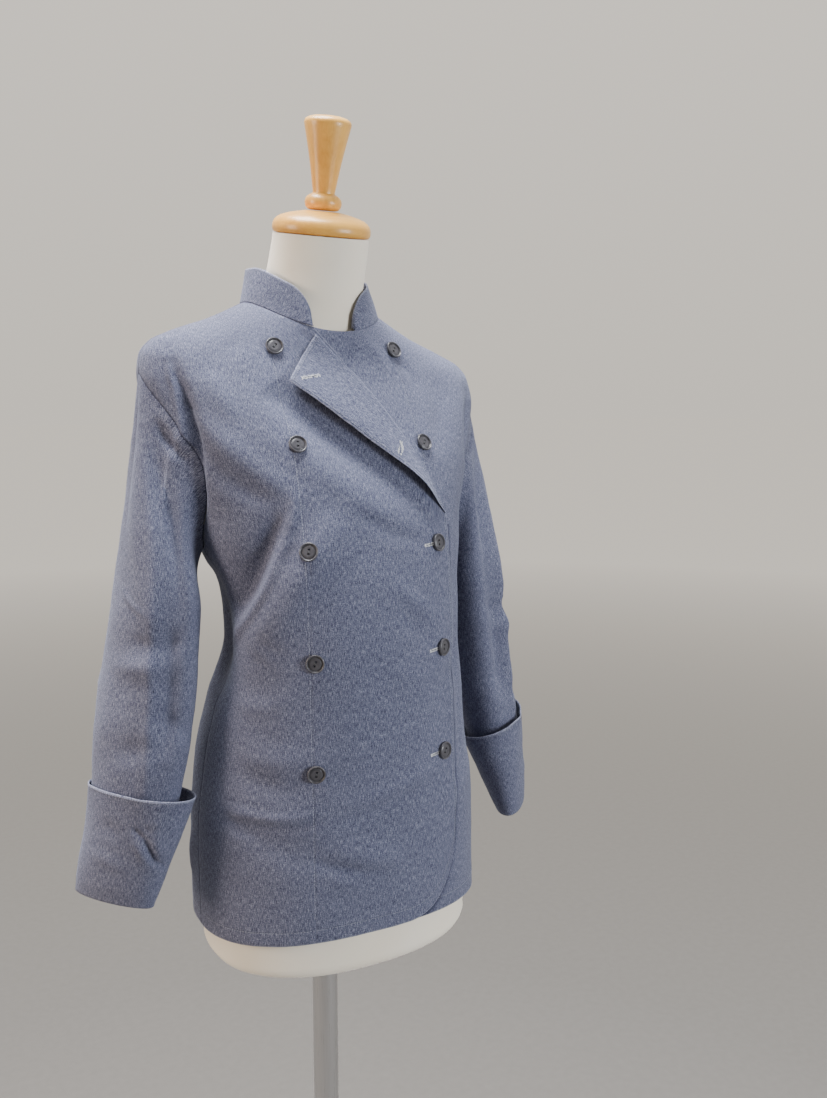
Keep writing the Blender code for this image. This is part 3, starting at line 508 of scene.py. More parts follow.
def shell(name, outer, inner, grain, lines=None, seams=None, joins=None, wrap=False,
          flip=False):
    """A closed thin cloth from two grids of points, with a rounded rim.

    grain is the place on the flat cut in metres. The other layers are distances, two by
    two: lines to the edge stitch and to the hem stitch, seams to the facing stitch and to
    the free edge, and joins to the seam with the next piece and to the edge that lies on
    top. A distance of 1 stands for none."""
    rows, columns = outer.shape[:2]
    count = rows * columns
    number = np.arange(count).reshape(rows, columns)
    quads = grid_faces(number, wrap)
    faces = [tuple(q) for q in quads.tolist()]
    faces += [tuple(q) for q in (quads[:, ::-1] + count).tolist()]
    points = [outer.reshape(-1, 3), inner.reshape(-1, 3)]
    source = list(range(count)) * 2
    start = 2 * count
    for loop in rim_loops(rows, columns, wrap):
        edge = np.array([number[a] for a, b in loop])
        within = np.array([number[b] for a, b in loop])
        o, i = points[0][edge], points[1][edge]
        away = unit(points[0][edge] - points[0][within])
        thick = np.linalg.norm(o - i, axis=-1, keepdims=True)
        points.append((o + i) / 2 + away * thick * 0.5)
        source += edge.tolist()
        size = len(edge)
        for k in range(size):
            n = (k + 1) % size
            faces.append((edge[n], edge[k], start + k, start + n))
            faces.append((start + n, start + k, edge[k] + count, edge[n] + count))
        start += size
    if flip:
        faces = [face[::-1] for face in faces]
    mesh = bpy.data.meshes.new(name)
    mesh.from_pydata(np.concatenate(points).tolist(), [], [tuple(map(int, f)) for f in faces])
    mesh.update()
    corners = np.empty(len(mesh.loops), dtype=np.int64)
    mesh.loops.foreach_get("vertex_index", corners)
    corners = np.array(source)[corners]
    far = np.full((count, 2), 1.0)
    for layer, values in (("grain", grain), ("lines", lines), ("seams", seams),
                          ("joins", joins)):
        flat = far if values is None else np.asarray(values).reshape(count, 2)
        uv = mesh.uv_layers.new(name=layer)
        uv.data.foreach_set("uv", flat[corners].astype(np.float32).ravel())
    mesh.shade_smooth()
    return put_in_scene(name, mesh)


WEAVE_REPEAT = 0.00062    # over one thread and under the next
# Unevenness of the yarn: grains to the metre across and up, detail, how much paler it
# makes the cloth, and how far it stands out in metres.
YARN = [
    ((1900.0, 210.0), 2.0, 1.9, 0.00008),     # warp
    ((210.0, 1900.0), 2.0, 0.9, 0.00005),     # weft
    ((1250.0, 1250.0), 1.0, 1.5, 0.0),        # specks
    ((1450.0, 95.0), 2.0, 0.85, 0.00006),     # slubs of the warp
    ((95.0, 1200.0), 2.0, 0.12, 0.0),         # slubs of the weft
    ((26.0, 20.0), 2.0, 0.12, 0.0),           # clouds of the dye
]
YARN_PALENESS, WEAVE_PALENESS, WEAVE_HEIGHT = 0.45, 0.05, 0.00002
YARN_TONES = [(0.0, (0.026, 0.030, 0.064)), (0.45, (0.105, 0.114, 0.187)),
              (1.0, (0.320, 0.335, 0.430))]
WORN_HIGHLIGHT_REACH, WORN_HIGHLIGHT_PALENESS = 0.0014, 0.32      # free edges, rubbed paler and given a painted highlight
SEAM_REACH, SEAM_SHADE = 0.0008, 0.35         # painted shade in the sunk line of a seam
LAP_REACH, LAP_SHADE = 0.0042, 0.48           # the shade beside an edge that lies on top
STITCH_REACH, PRESSED_DEPTH = 0.0009, 0.00035


def chambray_material():
    """Plain weave of blue warp and pale weft: slubby threads, heathering, stitch grooves,
    painted shade in seams and beside lapped edges, and a painted highlight on rubbed edges.
    """
    material, nodes = new_material("chambray_cloth")
    math = nodes.math
    grain = nodes.add("UVMap", uv_map="grain").outputs[0]
    lines, seams, joins = (
        nodes.add("SeparateXYZ", {0: nodes.add("UVMap", uv_map=layer).outputs[0]}).outputs
        for layer in ("lines", "seams", "joins"))

    def groove(distance, width):
        part = math("DIVIDE", distance, width)
        return math("POWER", 2.718, math("MULTIPLY", math("MULTIPLY", part, part), -1.0))

    split = nodes.add("SeparateXYZ", {0: grain}).outputs
    across, upward = (math("SINE", math("MULTIPLY", split[axis], 2 * np.pi / WEAVE_REPEAT))
                      for axis in (0, 1))
    weave = math("MULTIPLY", across, upward)
    pale = nodes.scaled(weave, WEAVE_PALENESS, YARN_PALENESS)
    height = math("MULTIPLY", weave, WEAVE_HEIGHT)
    for scales, detail, paleness, rise in YARN:
        yarn = nodes.stretched_noise(grain, (*scales, 1.0), detail, Roughness=0.6)
        pale = math("ADD", pale, math("MULTIPLY", math("SUBTRACT", yarn, 0.5), paleness))
        if rise:
            height = math("ADD", height, math("MULTIPLY", yarn, rise))
    # Free edges are paler: partly rubbed wear, partly a painted highlight on the rim.
    worn = math("SUBTRACT", 1.0, math("DIVIDE", seams[1], WORN_HIGHLIGHT_REACH), clamp=True)
    pale = math("ADD", pale, math("MULTIPLY", worn, WORN_HIGHLIGHT_PALENESS))
    # Painted shade in the sunk line where two panels are sewn together; it also sinks the relief.
    seam_groove_and_shade = groove(joins[0], SEAM_REACH)
    pale = math("SUBTRACT", pale, math("MULTIPLY", seam_groove_and_shade, SEAM_SHADE))
    shade = math("MULTIPLY", groove(joins[1], LAP_REACH), LAP_SHADE)
    pale = math("SUBTRACT", pale, shade, clamp=True)
    nodes.finish(Base_Color=nodes.tones(pale, *YARN_TONES), Roughness=0.88,
                 Specular_IOR_Level=0.25, Sheen_Weight=0.18, Sheen_Roughness=0.45,
                 Sheen_Tint=(0.75, 0.82, 1.0, 1.0))

    pressed = seam_groove_and_shade
    for distance in (lines[0], lines[1], seams[0]):
        pressed = math("ADD", pressed, groove(distance, STITCH_REACH))
    height = math("SUBTRACT", height, math("MULTIPLY", pressed, PRESSED_DEPTH))
    nodes.relief(height, 0.9, 1.0)
    return material


CHAMBRAY = chambray_material()


def dress(piece, node):
    """Gives a cloth piece of the jacket its chambray, hangs it on the root, and hides the solid
    it stands for.
    """
    piece.data.materials.append(CHAMBRAY)
    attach(piece, "root")
    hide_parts(node)


def line_across(outer, inner, axis, distance):
    """The line a distance in from the start of a grid's rows (axis 1) or columns (0)."""
    if axis == 0:
        outer, inner = outer.transpose(1, 0, 2), inner.transpose(1, 0, 2)
    length = arc(outer, 1)
    spots, outs = [], []
    for row in range(len(outer)):
        spot = [np.interp(distance, length[row], outer[row, :, k]) for k in range(3)]
        under = [np.interp(distance, length[row], inner[row, :, k]) for k in range(3)]
        spots.append(spot)
        outs.append(np.subtract(spot, under))
    return np.array(spots), unit(np.array(outs))


TWIST_SHADE = 0.72


def thread_material(name, colour):
    """Sewing thread, darker where its twist turns away."""
    material, nodes = new_material(name)
    twist = nodes.noise(nodes.add("TexCoord").outputs["Object"], 1800.0, 1.0)
    dark = [TWIST_SHADE * part for part in colour]
    nodes.finish(Base_Color=nodes.tones(twist, (0.0, dark), (1.0, colour)),
                 Roughness=0.7, Sheen_Weight=0.2)
    return material


TOPSTITCH = thread_material("thread_topstitch", (0.36, 0.39, 0.46))
STITCH_PITCH = 0.0031
STITCH_LENGTH = 0.0026
STITCH_RADIUS = 0.00017
# One stitch: places along it, thickness there, and how far it rises from the cloth.
STITCH_SHAPE = [(-0.5, 0.25, -0.8), (-0.32, 0.9, 0.35), (0.0, 1.0, 0.6), (0.32, 0.9, 0.35),
                (0.5, 0.25, -0.8)]
STITCH_SIDES = 5


def stitch_set(name, stitches, material, radius=STITCH_RADIUS):
    """One mesh of many stitches, each a middle, its reach along, and the way out."""
    middles, reaches, outs = (np.array(part) for part in zip(*stitches))
    aside = unit(np.cross(reaches, outs))
    angles = 2 * np.pi * np.arange(STITCH_SIDES) / STITCH_SIDES
    rings = []
    for along, thick, rise in STITCH_SHAPE:
        centre = middles + reaches * along + outs * (rise * radius)
        ring = (centre[:, None] + radius * thick * (
            np.cos(angles)[None, :, None] * aside[:, None]
            + np.sin(angles)[None, :, None] * outs[:, None]))
        rings.append(ring)
    points = np.stack(rings, 1)
    count, levels, sides = points.shape[:3]
    number = np.arange(count * levels * sides).reshape(count, levels, sides)
    faces = []
    for n in range(count):
        for level in range(levels - 1):
            a, b = number[n, level], number[n, level + 1]
            for k in range(sides):
                m = (k + 1) % sides
                faces.append((int(a[k]), int(a[m]), int(b[m]), int(b[k])))
        faces.append(tuple(int(i) for i in number[n, 0][::-1]))
        faces.append(tuple(int(i) for i in number[n, -1]))
    mesh = bpy.data.meshes.new(name)
    mesh.from_pydata(points.reshape(-1, 3).tolist(), [], faces)
    mesh.shade_smooth()
    mesh.materials.append(material)
    item = put_in_scene(name, mesh)
    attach(item, "root")
    return item


def run_stitches(points, outs, pitch=STITCH_PITCH, length=STITCH_LENGTH):
    """Running stitches along a line of points: middle, reach and way out of each."""
    step = np.linalg.norm(np.diff(points, axis=0), axis=-1)
    total = np.concatenate([[0.0], np.cumsum(step)])
    found = []
    for middle in np.arange(pitch, total[-1] - pitch, pitch):
        ends = [np.array([np.interp(middle + shift, total, points[:, k]) for k in range(3)])
                for shift in (-length / 2, length / 2)]
        out = np.array([np.interp(middle, total, outs[:, k]) for k in range(3)])
        reach = ends[1] - ends[0]
        size = np.linalg.norm(reach)
        if size > 0.5 * length:
            found.append(((ends[0] + ends[1]) / 2, reach, out / np.linalg.norm(out)))
    return found


ARMHOLE_HEIGHT, ARMHOLE_ROUND = 1.15, 0.75   # where it is deepest, and how round it is


def armhole_turn(height, cut):
    """How far the armhole cuts into a panel at a height, as a turn."""
    part = np.clip((height - UNDERARM) / (SHOULDER_TIP - UNDERARM), 0.0, 1.0)
    return cut * np.sin(np.pi * part ** ARMHOLE_HEIGHT) ** ARMHOLE_ROUND


SIDE_SEAM = 0.000156      # half the visible line between two sewn panels


def side_gap(height):
    return SIDE_SEAM / (body_value("y_back", height) - body_value("y_front", height))


# Rows of points up a panel, closer together at both ends of the armhole.
LOW_ROWS, ARMHOLE_ROWS, TOP_ROWS = 112, 57, 25
ARM_PART = (1 - np.cos(np.linspace(0, np.pi, ARMHOLE_ROWS))) / 2
ROWS = np.concatenate([
    HEM + (UNDERARM - HEM) * np.linspace(0, 1, LOW_ROWS)[:-1],
    UNDERARM + (SHOULDER_TIP - UNDERARM) * ARM_PART,
    np.linspace(SHOULDER_TIP, NECK, TOP_ROWS)[1:],
])
HEM_STITCH = 0.0135       # height of the hem's stitch line over its fold
BACK_COLUMNS = 112
BACK_CUT = 3.0            # where on the length of cloth it is cut, so its slubs are its own


def build_back():
    part = np.linspace(-1.0, 1.0, BACK_COLUMNS)[None, :]
    heights = ROWS[:, None] + 0.0 * part
    half = np.pi / 2 - side_gap(heights) - armhole_turn(heights, ARMHOLE_TURN_BACK)
    turns = np.pi + half * part
    points, normal = body_grid(turns, heights)
    outer = points + normal * CLOTH
    inner = points + normal * (CLOTH - THIN)
    across, upward = arc(outer, 1), arc(outer, 0)
    centred = across - across[:, BACK_COLUMNS // 2][:, None]
    one = np.ones_like(upward)
    grain = np.stack([centred + BACK_CUT, upward], -1)
    lines = np.stack([one, upward - HEM_STITCH], -1)
    seams = np.stack([one, upward], -1)
    joins = np.stack([np.minimum(across, arc_from_end(outer, 1)), one], -1)
    piece = shell("back_panel", outer, inner, grain, lines, seams, joins)
    hem = stitch_set("back_hem_stitches", run_stitches(*line_across(outer, inner, 0, HEM_STITCH)),
                     TOPSTITCH)
    dress(piece, "back")


build_back()


# ---------------------------------------------------------------- left front
# The under front on the wearer's left, one layer of chambray with a hemmed foot: its
# straight edge is covered, and its facing is stitched down along a line that shows
# beside the far buttons.

EDGE_X = 0.0865           # the top front's free edge; the other one mirrors it
LEFT_TOP_X, LEFT_BEND = -0.0340, (1.262, 1.356)   # the covered edge slants to the neck
# The top front's roll line, from the neck to where the fold ends, as x and z.
ROLL_LINE = [(-0.0270, 1.3540), (0.0040, 1.3170), (0.0530, 1.2370), (0.0840, 1.1710)]
ROLL_END_Z = ROLL_LINE[-1][1]
# The top front's rounded lower corner.
CORNER_START_X, CORNER_TOP_Z, CORNER_HEM_Z, CORNER_POWER = 0.024, 0.846, 0.763, 2.2
CORNER_FADE = 0.05        # its curve dies out in the rows this far above it
FRONT_COLUMNS, FRONT_CROWDING = 104, 1.15
EDGE_STITCH = 0.0030      # the edge's stitch line lies this far in
LEFT_FACING_X, LEFT_FACING_ENDS = 0.0655, (0.775, 1.318)
LAP_SHADE_START = 0.0022  # the shade beside the top front's free edge is deepest here
LAP_SHADE_TOP = (ROLL_END_Z - 0.012, ROLL_END_Z + 0.004)     # and fades out here
LINE_STEP = 0.002         # between the points of a line of stitches
FACING_THREAD = thread_material("thread_facing", (0.40, 0.42, 0.51))
FACING_RADIUS = 0.00021
TURN_STEPS, EDGE_STEPS = 12, 14   # enough for a place on the front to settle


def front_place(x, z):
    """Turn and side height of the point of the front at x and z."""
    x, z = np.broadcast_arrays(np.asarray(x, float), np.asarray(z, float))
    height = z.astype(float).copy()
    turn = np.zeros_like(height)
    for _ in range(TURN_STEPS):
        power = body_value("power", height)
        aside = x - neck_shift(height)
        share = np.clip(np.abs(aside) / body_value("half", height), 1e-6, 0.999) ** power
        turn = np.sign(aside) * np.arctan((share / (1 - share)) ** (1 / power))
        height = np.clip(height + z - smooth_body(turn, height)[..., 2], HEM, NECK)
    return turn, height


def edge_turn(edge_x, height):
    """The turn of a front's edge, whose x is a function of z, on a ring."""
    height = np.asarray(height, float)
    z = height.copy()
    turn = np.zeros_like(height)
    for _ in range(EDGE_STEPS):
        turn = front_place(edge_x(z), z)[0]
        z = smooth_body(turn, height)[..., 2]
    return turn


def roll_x(z):
    rows = ROLL_LINE[::-1]
    return smooth_column([p[1] for p in rows], [p[0] for p in rows], z)


def right_edge_x(z):
    return np.where(z < ROLL_END_Z, EDGE_X, np.minimum(roll_x(z), EDGE_X))


def left_edge_x(z):
    return -EDGE_X + (EDGE_X + LEFT_TOP_X) * ramp(z, *LEFT_BEND)


def front_grid(side, edge_x, out, round_corner):
    """Outer and inner points of a front, from its free edge to the side and armhole."""
    crowd = np.linspace(0.0, 1.0, FRONT_COLUMNS) ** FRONT_CROWDING
    low = np.zeros(FRONT_COLUMNS)
    if round_corner:
        edge = edge_turn(edge_x, np.array([HEM]))[0]
        turns = edge + (side * np.pi / 2 - edge) * crowd
        x = smooth_body(turns, HEM)[..., 0]
        part = np.clip((x - CORNER_START_X) / (EDGE_X - CORNER_START_X), 0.0, 1.0)
        low = (CORNER_TOP_Z - CORNER_HEM_Z) * (1 - np.sqrt(1 - part ** CORNER_POWER))
    keep = ramp(ROWS, CORNER_TOP_Z + CORNER_FADE, HEM)
    heights = ROWS[:, None] + low[None, :] * keep[:, None]
    start = edge_turn(edge_x, heights)
    end = side * (np.pi / 2 - side_gap(heights) - armhole_turn(heights, ARMHOLE_TURN))
    turns = start + (end - start) * crowd[None, :]
    points, normal = body_grid(turns, heights)
    outer = points + normal * (out(turns, heights) + CLOTH)[..., None]
    return outer, outer - normal * THIN


def front_layers(outer, side, facing_x):
    """Grain and stitch distances of a front."""
    across, upward = arc(outer, 1), arc(outer, 0)
    middle = np.array([np.interp(0.0, side * row[:, 0], lengths)
                       for row, lengths in zip(outer, across)])
    grain = np.stack([side * (across - middle[:, None]), upward], -1)
    rolled = (side < 0) & (outer[..., 2] > ROLL_END_Z)
    lines = np.stack([np.where(rolled, 1.0, across - EDGE_STITCH), upward - HEM_STITCH], -1)
    seams = np.stack([outer[..., 0] - facing_x, np.minimum(across, upward)], -1)
    joins = np.stack([arc_from_end(outer, 1), np.ones_like(across)], -1)
    return grain, lines, seams, joins


def facing_line(x, ends, out):
    """The line where a front's facing is stitched down, and the way out along it."""
    z = np.arange(*ends, LINE_STEP)
    turn, height = front_place(x, z)
    points, normal = body_grid(turn, height)
    return points + normal * (out(turn, height) + CLOTH)[..., None], normal


def no_layer(turn, height):
    """The left front lies on nothing but the form."""
    return np.zeros(np.broadcast(turn, height).shape)


def lap_edge_gap(points):
    """How far points of the left front lie from the top front's free edge."""
    part = np.clip((points[..., 0] - CORNER_START_X) / (EDGE_X - CORNER_START_X), 0.0, 3.0)
    depth = (CORNER_TOP_Z - points[..., 2]) / (CORNER_TOP_Z - CORNER_HEM_Z)
    reach = np.sqrt(part ** CORNER_POWER + np.clip(depth, 0.0, 2.0) ** 2)
    above = ramp(points[..., 2], *LAP_SHADE_TOP)
    return (reach - 1) * (EDGE_X - CORNER_START_X) + above - LAP_SHADE_START


def build_left_front():
    outer, inner = front_grid(1, left_edge_x, no_layer, False)
    grain, lines, seams, joins = front_layers(outer, 1, LEFT_FACING_X)
    joins[..., 1] = lap_edge_gap(outer)
    piece = shell("left_front_panel", outer, inner, grain, lines, seams, joins)
    found = run_stitches(*line_across(outer, inner, 0, HEM_STITCH))
    thread = stitch_set("left_front_stitches", found, TOPSTITCH)
    rows = run_stitches(*facing_line(LEFT_FACING_X, LEFT_FACING_ENDS, no_layer))
    facing = stitch_set("left_facing_stitches", rows, FACING_THREAD, FACING_RADIUS)
    dress(piece, "front_left")


build_left_front()


# ---------------------------------------------------------------- right front
# The top front, one layer of chambray: it laps over the left one, its topstitched edge
# runs down beside the far buttons and rounds into the hem, and its facing is stitched
# down beside the near ones.

RIGHT_FACING_X, RIGHT_FACING_ENDS = -0.0735, (0.785, 1.322)
TOP_AIR = 0.0004          # air between the two fronts where they lie flat
LAP_START = (-EDGE_X - 0.034, -EDGE_X - 0.006)   # where it climbs onto the left front
LAP_NECK = (-0.052, -0.028)                      # the same in the collar seam
NECK_REACH = 0.024
HEM_SLACK, HEM_SLACK_TOP = 0.0006, 0.90
EDGE_CURL, EDGE_CURL_REACH = 0.0006, 0.0042
EDGE_CURL_TOP = (ROLL_END_Z + 0.01, ROLL_END_Z - 0.03)
EDGE_STITCH_TOP = ROLL_END_Z - 0.004


def right_front_out(turn, height):
    """The right front lies on the left front, and settles beside it."""
    x = smooth_body(turn, height)[..., 0]
    near_neck = ramp(height, NECK, NECK - NECK_REACH)
    lies = ramp(x, *LAP_START) * np.maximum(near_neck, ramp(x, *LAP_NECK))
    slack = HEM_SLACK * ramp(height, HEM_SLACK_TOP, HEM)
    below_roll = ramp(height, *EDGE_CURL_TOP)
    curl = EDGE_CURL * np.exp(-((EDGE_X - x) / EDGE_CURL_REACH) ** 2) * below_roll
    return (THIN + TOP_AIR + slack) * lies + curl


def build_right_front():
    outer, inner = front_grid(-1, right_edge_x, right_front_out, True)
    grain, lines, seams, joins = front_layers(outer, -1, RIGHT_FACING_X)
    piece = shell("right_front_panel", outer, inner, grain, lines, seams, joins, flip=True)
    found = run_stitches(*line_across(outer, inner, 0, HEM_STITCH))
    edge = run_stitches(*line_across(outer, inner, 1, EDGE_STITCH))
    found += [stitch for stitch in edge if stitch[0][2] < EDGE_STITCH_TOP]
    thread = stitch_set("right_front_stitches", found, TOPSTITCH)
    rows = run_stitches(*facing_line(RIGHT_FACING_X, RIGHT_FACING_ENDS, right_front_out))
    facing = stitch_set("right_facing_stitches", rows, FACING_THREAD, FACING_RADIUS)
    dress(piece, "front_right")


build_right_front()


# ---------------------------------------------------------------- turned corner
# The top front's upper corner of the same chambray, folded back along the roll line so
# that its facing shows. Its topstitched free edge stands off the jacket and throws the
# long shadow under it.

TURNED_EDGE = [(-0.0650, 1.2965), (-0.0140, 1.2555), (0.0370, 1.2150), (0.0850, 1.1700)]
CORNER_LIFT, CORNER_LIFT_POWER = 0.0095, 1.5     # how far the free edge stands off
CORNER_RIPPLE, CORNER_RIPPLE_WAVES, CORNER_RIPPLE_START = 0.16, 9.0, 0.6
CORNER_FLAT = 0.75        # the lift fades out along the last quarter
CORNER_LEAST, CORNER_SWELL = 0.55, 0.45          # shares of the lift along the edge
SWELL_START, SWELL_SPAN = 0.15, 0.75
CORNER_AIR = 0.0006
ROLL_BEND, ROLL_BEND_SHARE = 0.0024, 0.07        # the cloth rolls over to reach the front
ROLL_SKIP, CORNER_SAG = 0.03, 0.0015
ROLL_WAY = (0.102, -0.178)                       # along the roll line, as x and z
CORNER_ROWS, CORNER_COLUMNS, CORNER_CROWDING = 90, 46, 1.25


def line_at(points, part):
    """x and z of a line through some points, at a part of its length."""
    keys = np.linspace(0.0, 1.0, len(points))
    return [smooth_column(keys, column, part) for column in zip(*points)]


def corner_place(along, away):
    """x, z and distance out of a place on the turned corner."""
    roll = line_at(ROLL_LINE, ROLL_SKIP + (1 - ROLL_SKIP) * along)
    free = line_at(TURNED_EDGE, along)
    x, z = (start + (end - start) * away for start, end in zip(roll, free))
    z = z - CORNER_SAG * (1 - along) * (1 - away)
    swell = CORNER_LEAST + CORNER_SWELL * np.sin(np.pi * (SWELL_START + SWELL_SPAN * along))
    waves = np.sin(CORNER_RIPPLE_WAVES * along + CORNER_RIPPLE_START)
    lift = CORNER_LIFT * away ** CORNER_LIFT_POWER * swell * ramp(along, 1.0, CORNER_FLAT)
    bend = ROLL_BEND * (1 - ramp(away, 0.0, ROLL_BEND_SHARE))
    layers = CLOTH + 2 * THIN + 2 * TOP_AIR + CORNER_AIR
    return x, z, layers + lift * (1 + CORNER_RIPPLE * waves * away) - bend


def corner_grid(rows, columns):
    """x and z of the turned corner's points, and its outer and inner points."""
    along = np.linspace(0.0, 1.0, rows)[:, None]
    away = (np.linspace(0.0, 1.0, columns) ** CORNER_CROWDING)[None, :]
    x, z, out = corner_place(along, away)
    points, normal = body_grid(*front_place(x, z))
    outer = points + normal * out[..., None]
    return x, z, outer, outer - normal * THIN


def build_turned_corner():
    x, z, outer, inner = corner_grid(CORNER_ROWS, CORNER_COLUMNS)
    upward = 2 * np.arctan2(ROLL_WAY[1], ROLL_WAY[0]) - np.pi / 2
    grain = np.stack([x * np.sin(upward) - z * np.cos(upward),
                      x * np.cos(upward) + z * np.sin(upward)], -1)
    from_edge, from_top = arc_from_end(outer, 1), arc(outer, 0)
    lines = np.stack([from_edge - EDGE_STITCH, from_top - EDGE_STITCH], -1)
    seams = np.stack([np.ones_like(x), np.minimum(from_edge, from_top)], -1)
    piece = shell("turned_corner_cloth", outer, inner, grain, lines, seams, flip=True)
    found = run_stitches(*line_across(outer[:, ::-1], inner[:, ::-1], 1, EDGE_STITCH))
    found += run_stitches(*line_across(outer, inner, 0, EDGE_STITCH))
    thread = stitch_set("turned_corner_stitches", found, TOPSTITCH)
    dress(piece, "turned_corner")


build_turned_corner()


# ---------------------------------------------------------------- collar
# A stand collar of two layers of chambray with rounded front ends, sewn into the neck
# seam. It stands open in front, leans in at the sides, and isn't quite even.

COLLAR_HEIGHT, COLLAR_THICK = 0.0335, 0.0018
COLLAR_CLEAR, COLLAR_AIR = 0.00045, 0.0008       # over the neck seam, and inside it
COLLAR_END = np.radians(19)
COLLAR_CORNER, COLLAR_END_SHARE = np.radians(21), 0.10   # the rounded end and its least height
COLLAR_LEAN, COLLAR_SIDE_LEAN = 0.0030, 0.0080
COLLAR_SIDE, COLLAR_SIDE_SPAN = 72, 42           # degrees
COLLAR_WAVES, COLLAR_WAVE_SPAN = [(0.040, 0.0010), (0.016, 0.0004)], 0.85
COLLAR_COLUMNS, COLLAR_ROWS = 260, 26
COLLAR_CUT = 5.0
SOLID_LAYERS = 0.0028     # the right front's place in the collar seam


def build_collar():
    turns = np.linspace(COLLAR_END, 2 * np.pi - COLLAR_END, COLLAR_COLUMNS)[None, :]
    up = np.linspace(0.0, 1.0, COLLAR_ROWS)[:, None]
    side = np.where(turns > np.pi, turns - 2 * np.pi, turns)
    at_neck = np.full_like(side, NECK)
    x = smooth_body(side, at_neck)[..., 0]
    lap = SOLID_LAYERS * ramp(x, *LAP_START) * ramp(x, *LAP_NECK)
    seam = body(side, at_neck, np.where(side < 0, lap, 0.0) + CLOTH)
    from_end = np.clip((np.abs(side) - COLLAR_END) / COLLAR_CORNER, 0.0, 1.0)
    rise = COLLAR_END_SHARE + (1 - COLLAR_END_SHARE) * np.sqrt(1 - (1 - from_end) ** 2)
    height = COLLAR_HEIGHT * rise * up
    level = np.stack([np.sin(side), -np.cos(side), 0 * side], axis=-1)
    lift = np.stack([0 * height, 0 * height, height + COLLAR_CLEAR], axis=-1)
    aside = np.exp(-((np.degrees(np.abs(side)) - COLLAR_SIDE) / COLLAR_SIDE_SPAN) ** 2)
    lean = (COLLAR_LEAN + COLLAR_SIDE_LEAN * aside) * up + COLLAR_AIR
    middle = seam + lift - level * lean[..., None]
    swell = wrinkle(middle, COLLAR_WAVES) * np.sin(np.pi * COLLAR_WAVE_SPAN * up)
    outer = middle + level * (COLLAR_THICK / 2 + swell)[..., None]
    inner = middle - level * (COLLAR_THICK / 2 - swell)[..., None]
    across, upward = arc(outer, 1), arc(outer, 0)
    grain = np.stack([across + COLLAR_CUT, upward], -1)
    seams = np.stack([np.ones_like(upward), upward[-1:] - upward], -1)
    piece = shell("stand_collar", outer, inner, grain, None, seams)
    dress(piece, "collar")


build_collar()


# ---------------------------------------------------------------- sleeves
# Long sleeves of chambray, set into the armholes: each is a tube that flattens towards the
# wrist, with a pressed crease along its outer face and soft folds from the armhole.

# Rings from the underarm down: height and place of the middle, half the long and the short
# way across, and how far the long way is turned from straight out, in degrees.
SLEEVE_COLUMNS = "step height out y long short lie".split()
SLEEVE = [
    (1.0, 1.085, 0.1800, -0.004, 0.0625, 0.0360, 78),
    (2.0, 1.020, 0.1905, -0.007, 0.0625, 0.0360, 72),
    (3.0, 0.960, 0.2010, -0.012, 0.0605, 0.0350, 67),
    (4.0, 0.910, 0.2095, -0.016, 0.0540, 0.0320, 63),
    (5.0, 0.860, 0.2220, -0.020, 0.0490, 0.0245, 59),
    (6.0, 0.807, 0.2365, -0.020, 0.0455, 0.0165, 55),
]
SLEEVE_TABLE = table(SLEEVE, SLEEVE_COLUMNS)
WRIST = SLEEVE[-1][0]
# By side, 1 for the left sleeve: how much higher the wrist hangs, and its lean.
WRIST_RISE = {1: 0.0070, -1: -0.0080}
WRIST_LEAN = {1: 0.0, -1: 0.0065}
WRIST_RISE_POWER, WRIST_LEAN_STEPS = 1.5, (2.0, 4.0)
CAP_PULL = 0.95           # fullness of the sleeve head
CAP_IN, CAP_IN_POWER = 0.9, 0.7                  # how the head leaves the seam
CAP_OUT, CAP_OUT_SIDES, CAP_DOWN = 0.35, 0.45, 0.7
SOLID_SEAM = 0.0003
SEAM_OVER, SEAM_UNDER = (0.35, 0.80), (-0.80, -0.35)
SLEEVE_SIDES, CAP_ROWS, ARM_ROWS = 116, 64, 106
SLEEVE_TURNS = (np.arange(SLEEVE_SIDES) * 2 * np.pi / SLEEVE_SIDES)[None, :]
SLEEVE_ROWS = np.concatenate([np.linspace(0.0, 1.0, CAP_ROWS)[:-1],
                              np.linspace(1.0, WRIST, ARM_ROWS)])[:, None]
SLEEVE_RADIUS = 0.052     # of the flat cut rolled up
# Steps from the seam where folds and wrinkles grow, and where they die out at the wrist.
FOLDS_GROW, WAVES_GROW, WRIST_CALM = (0.0, 0.10), (0.0, 0.15), (5.2, 3.9)
SLEEVE_CUT = 7.0
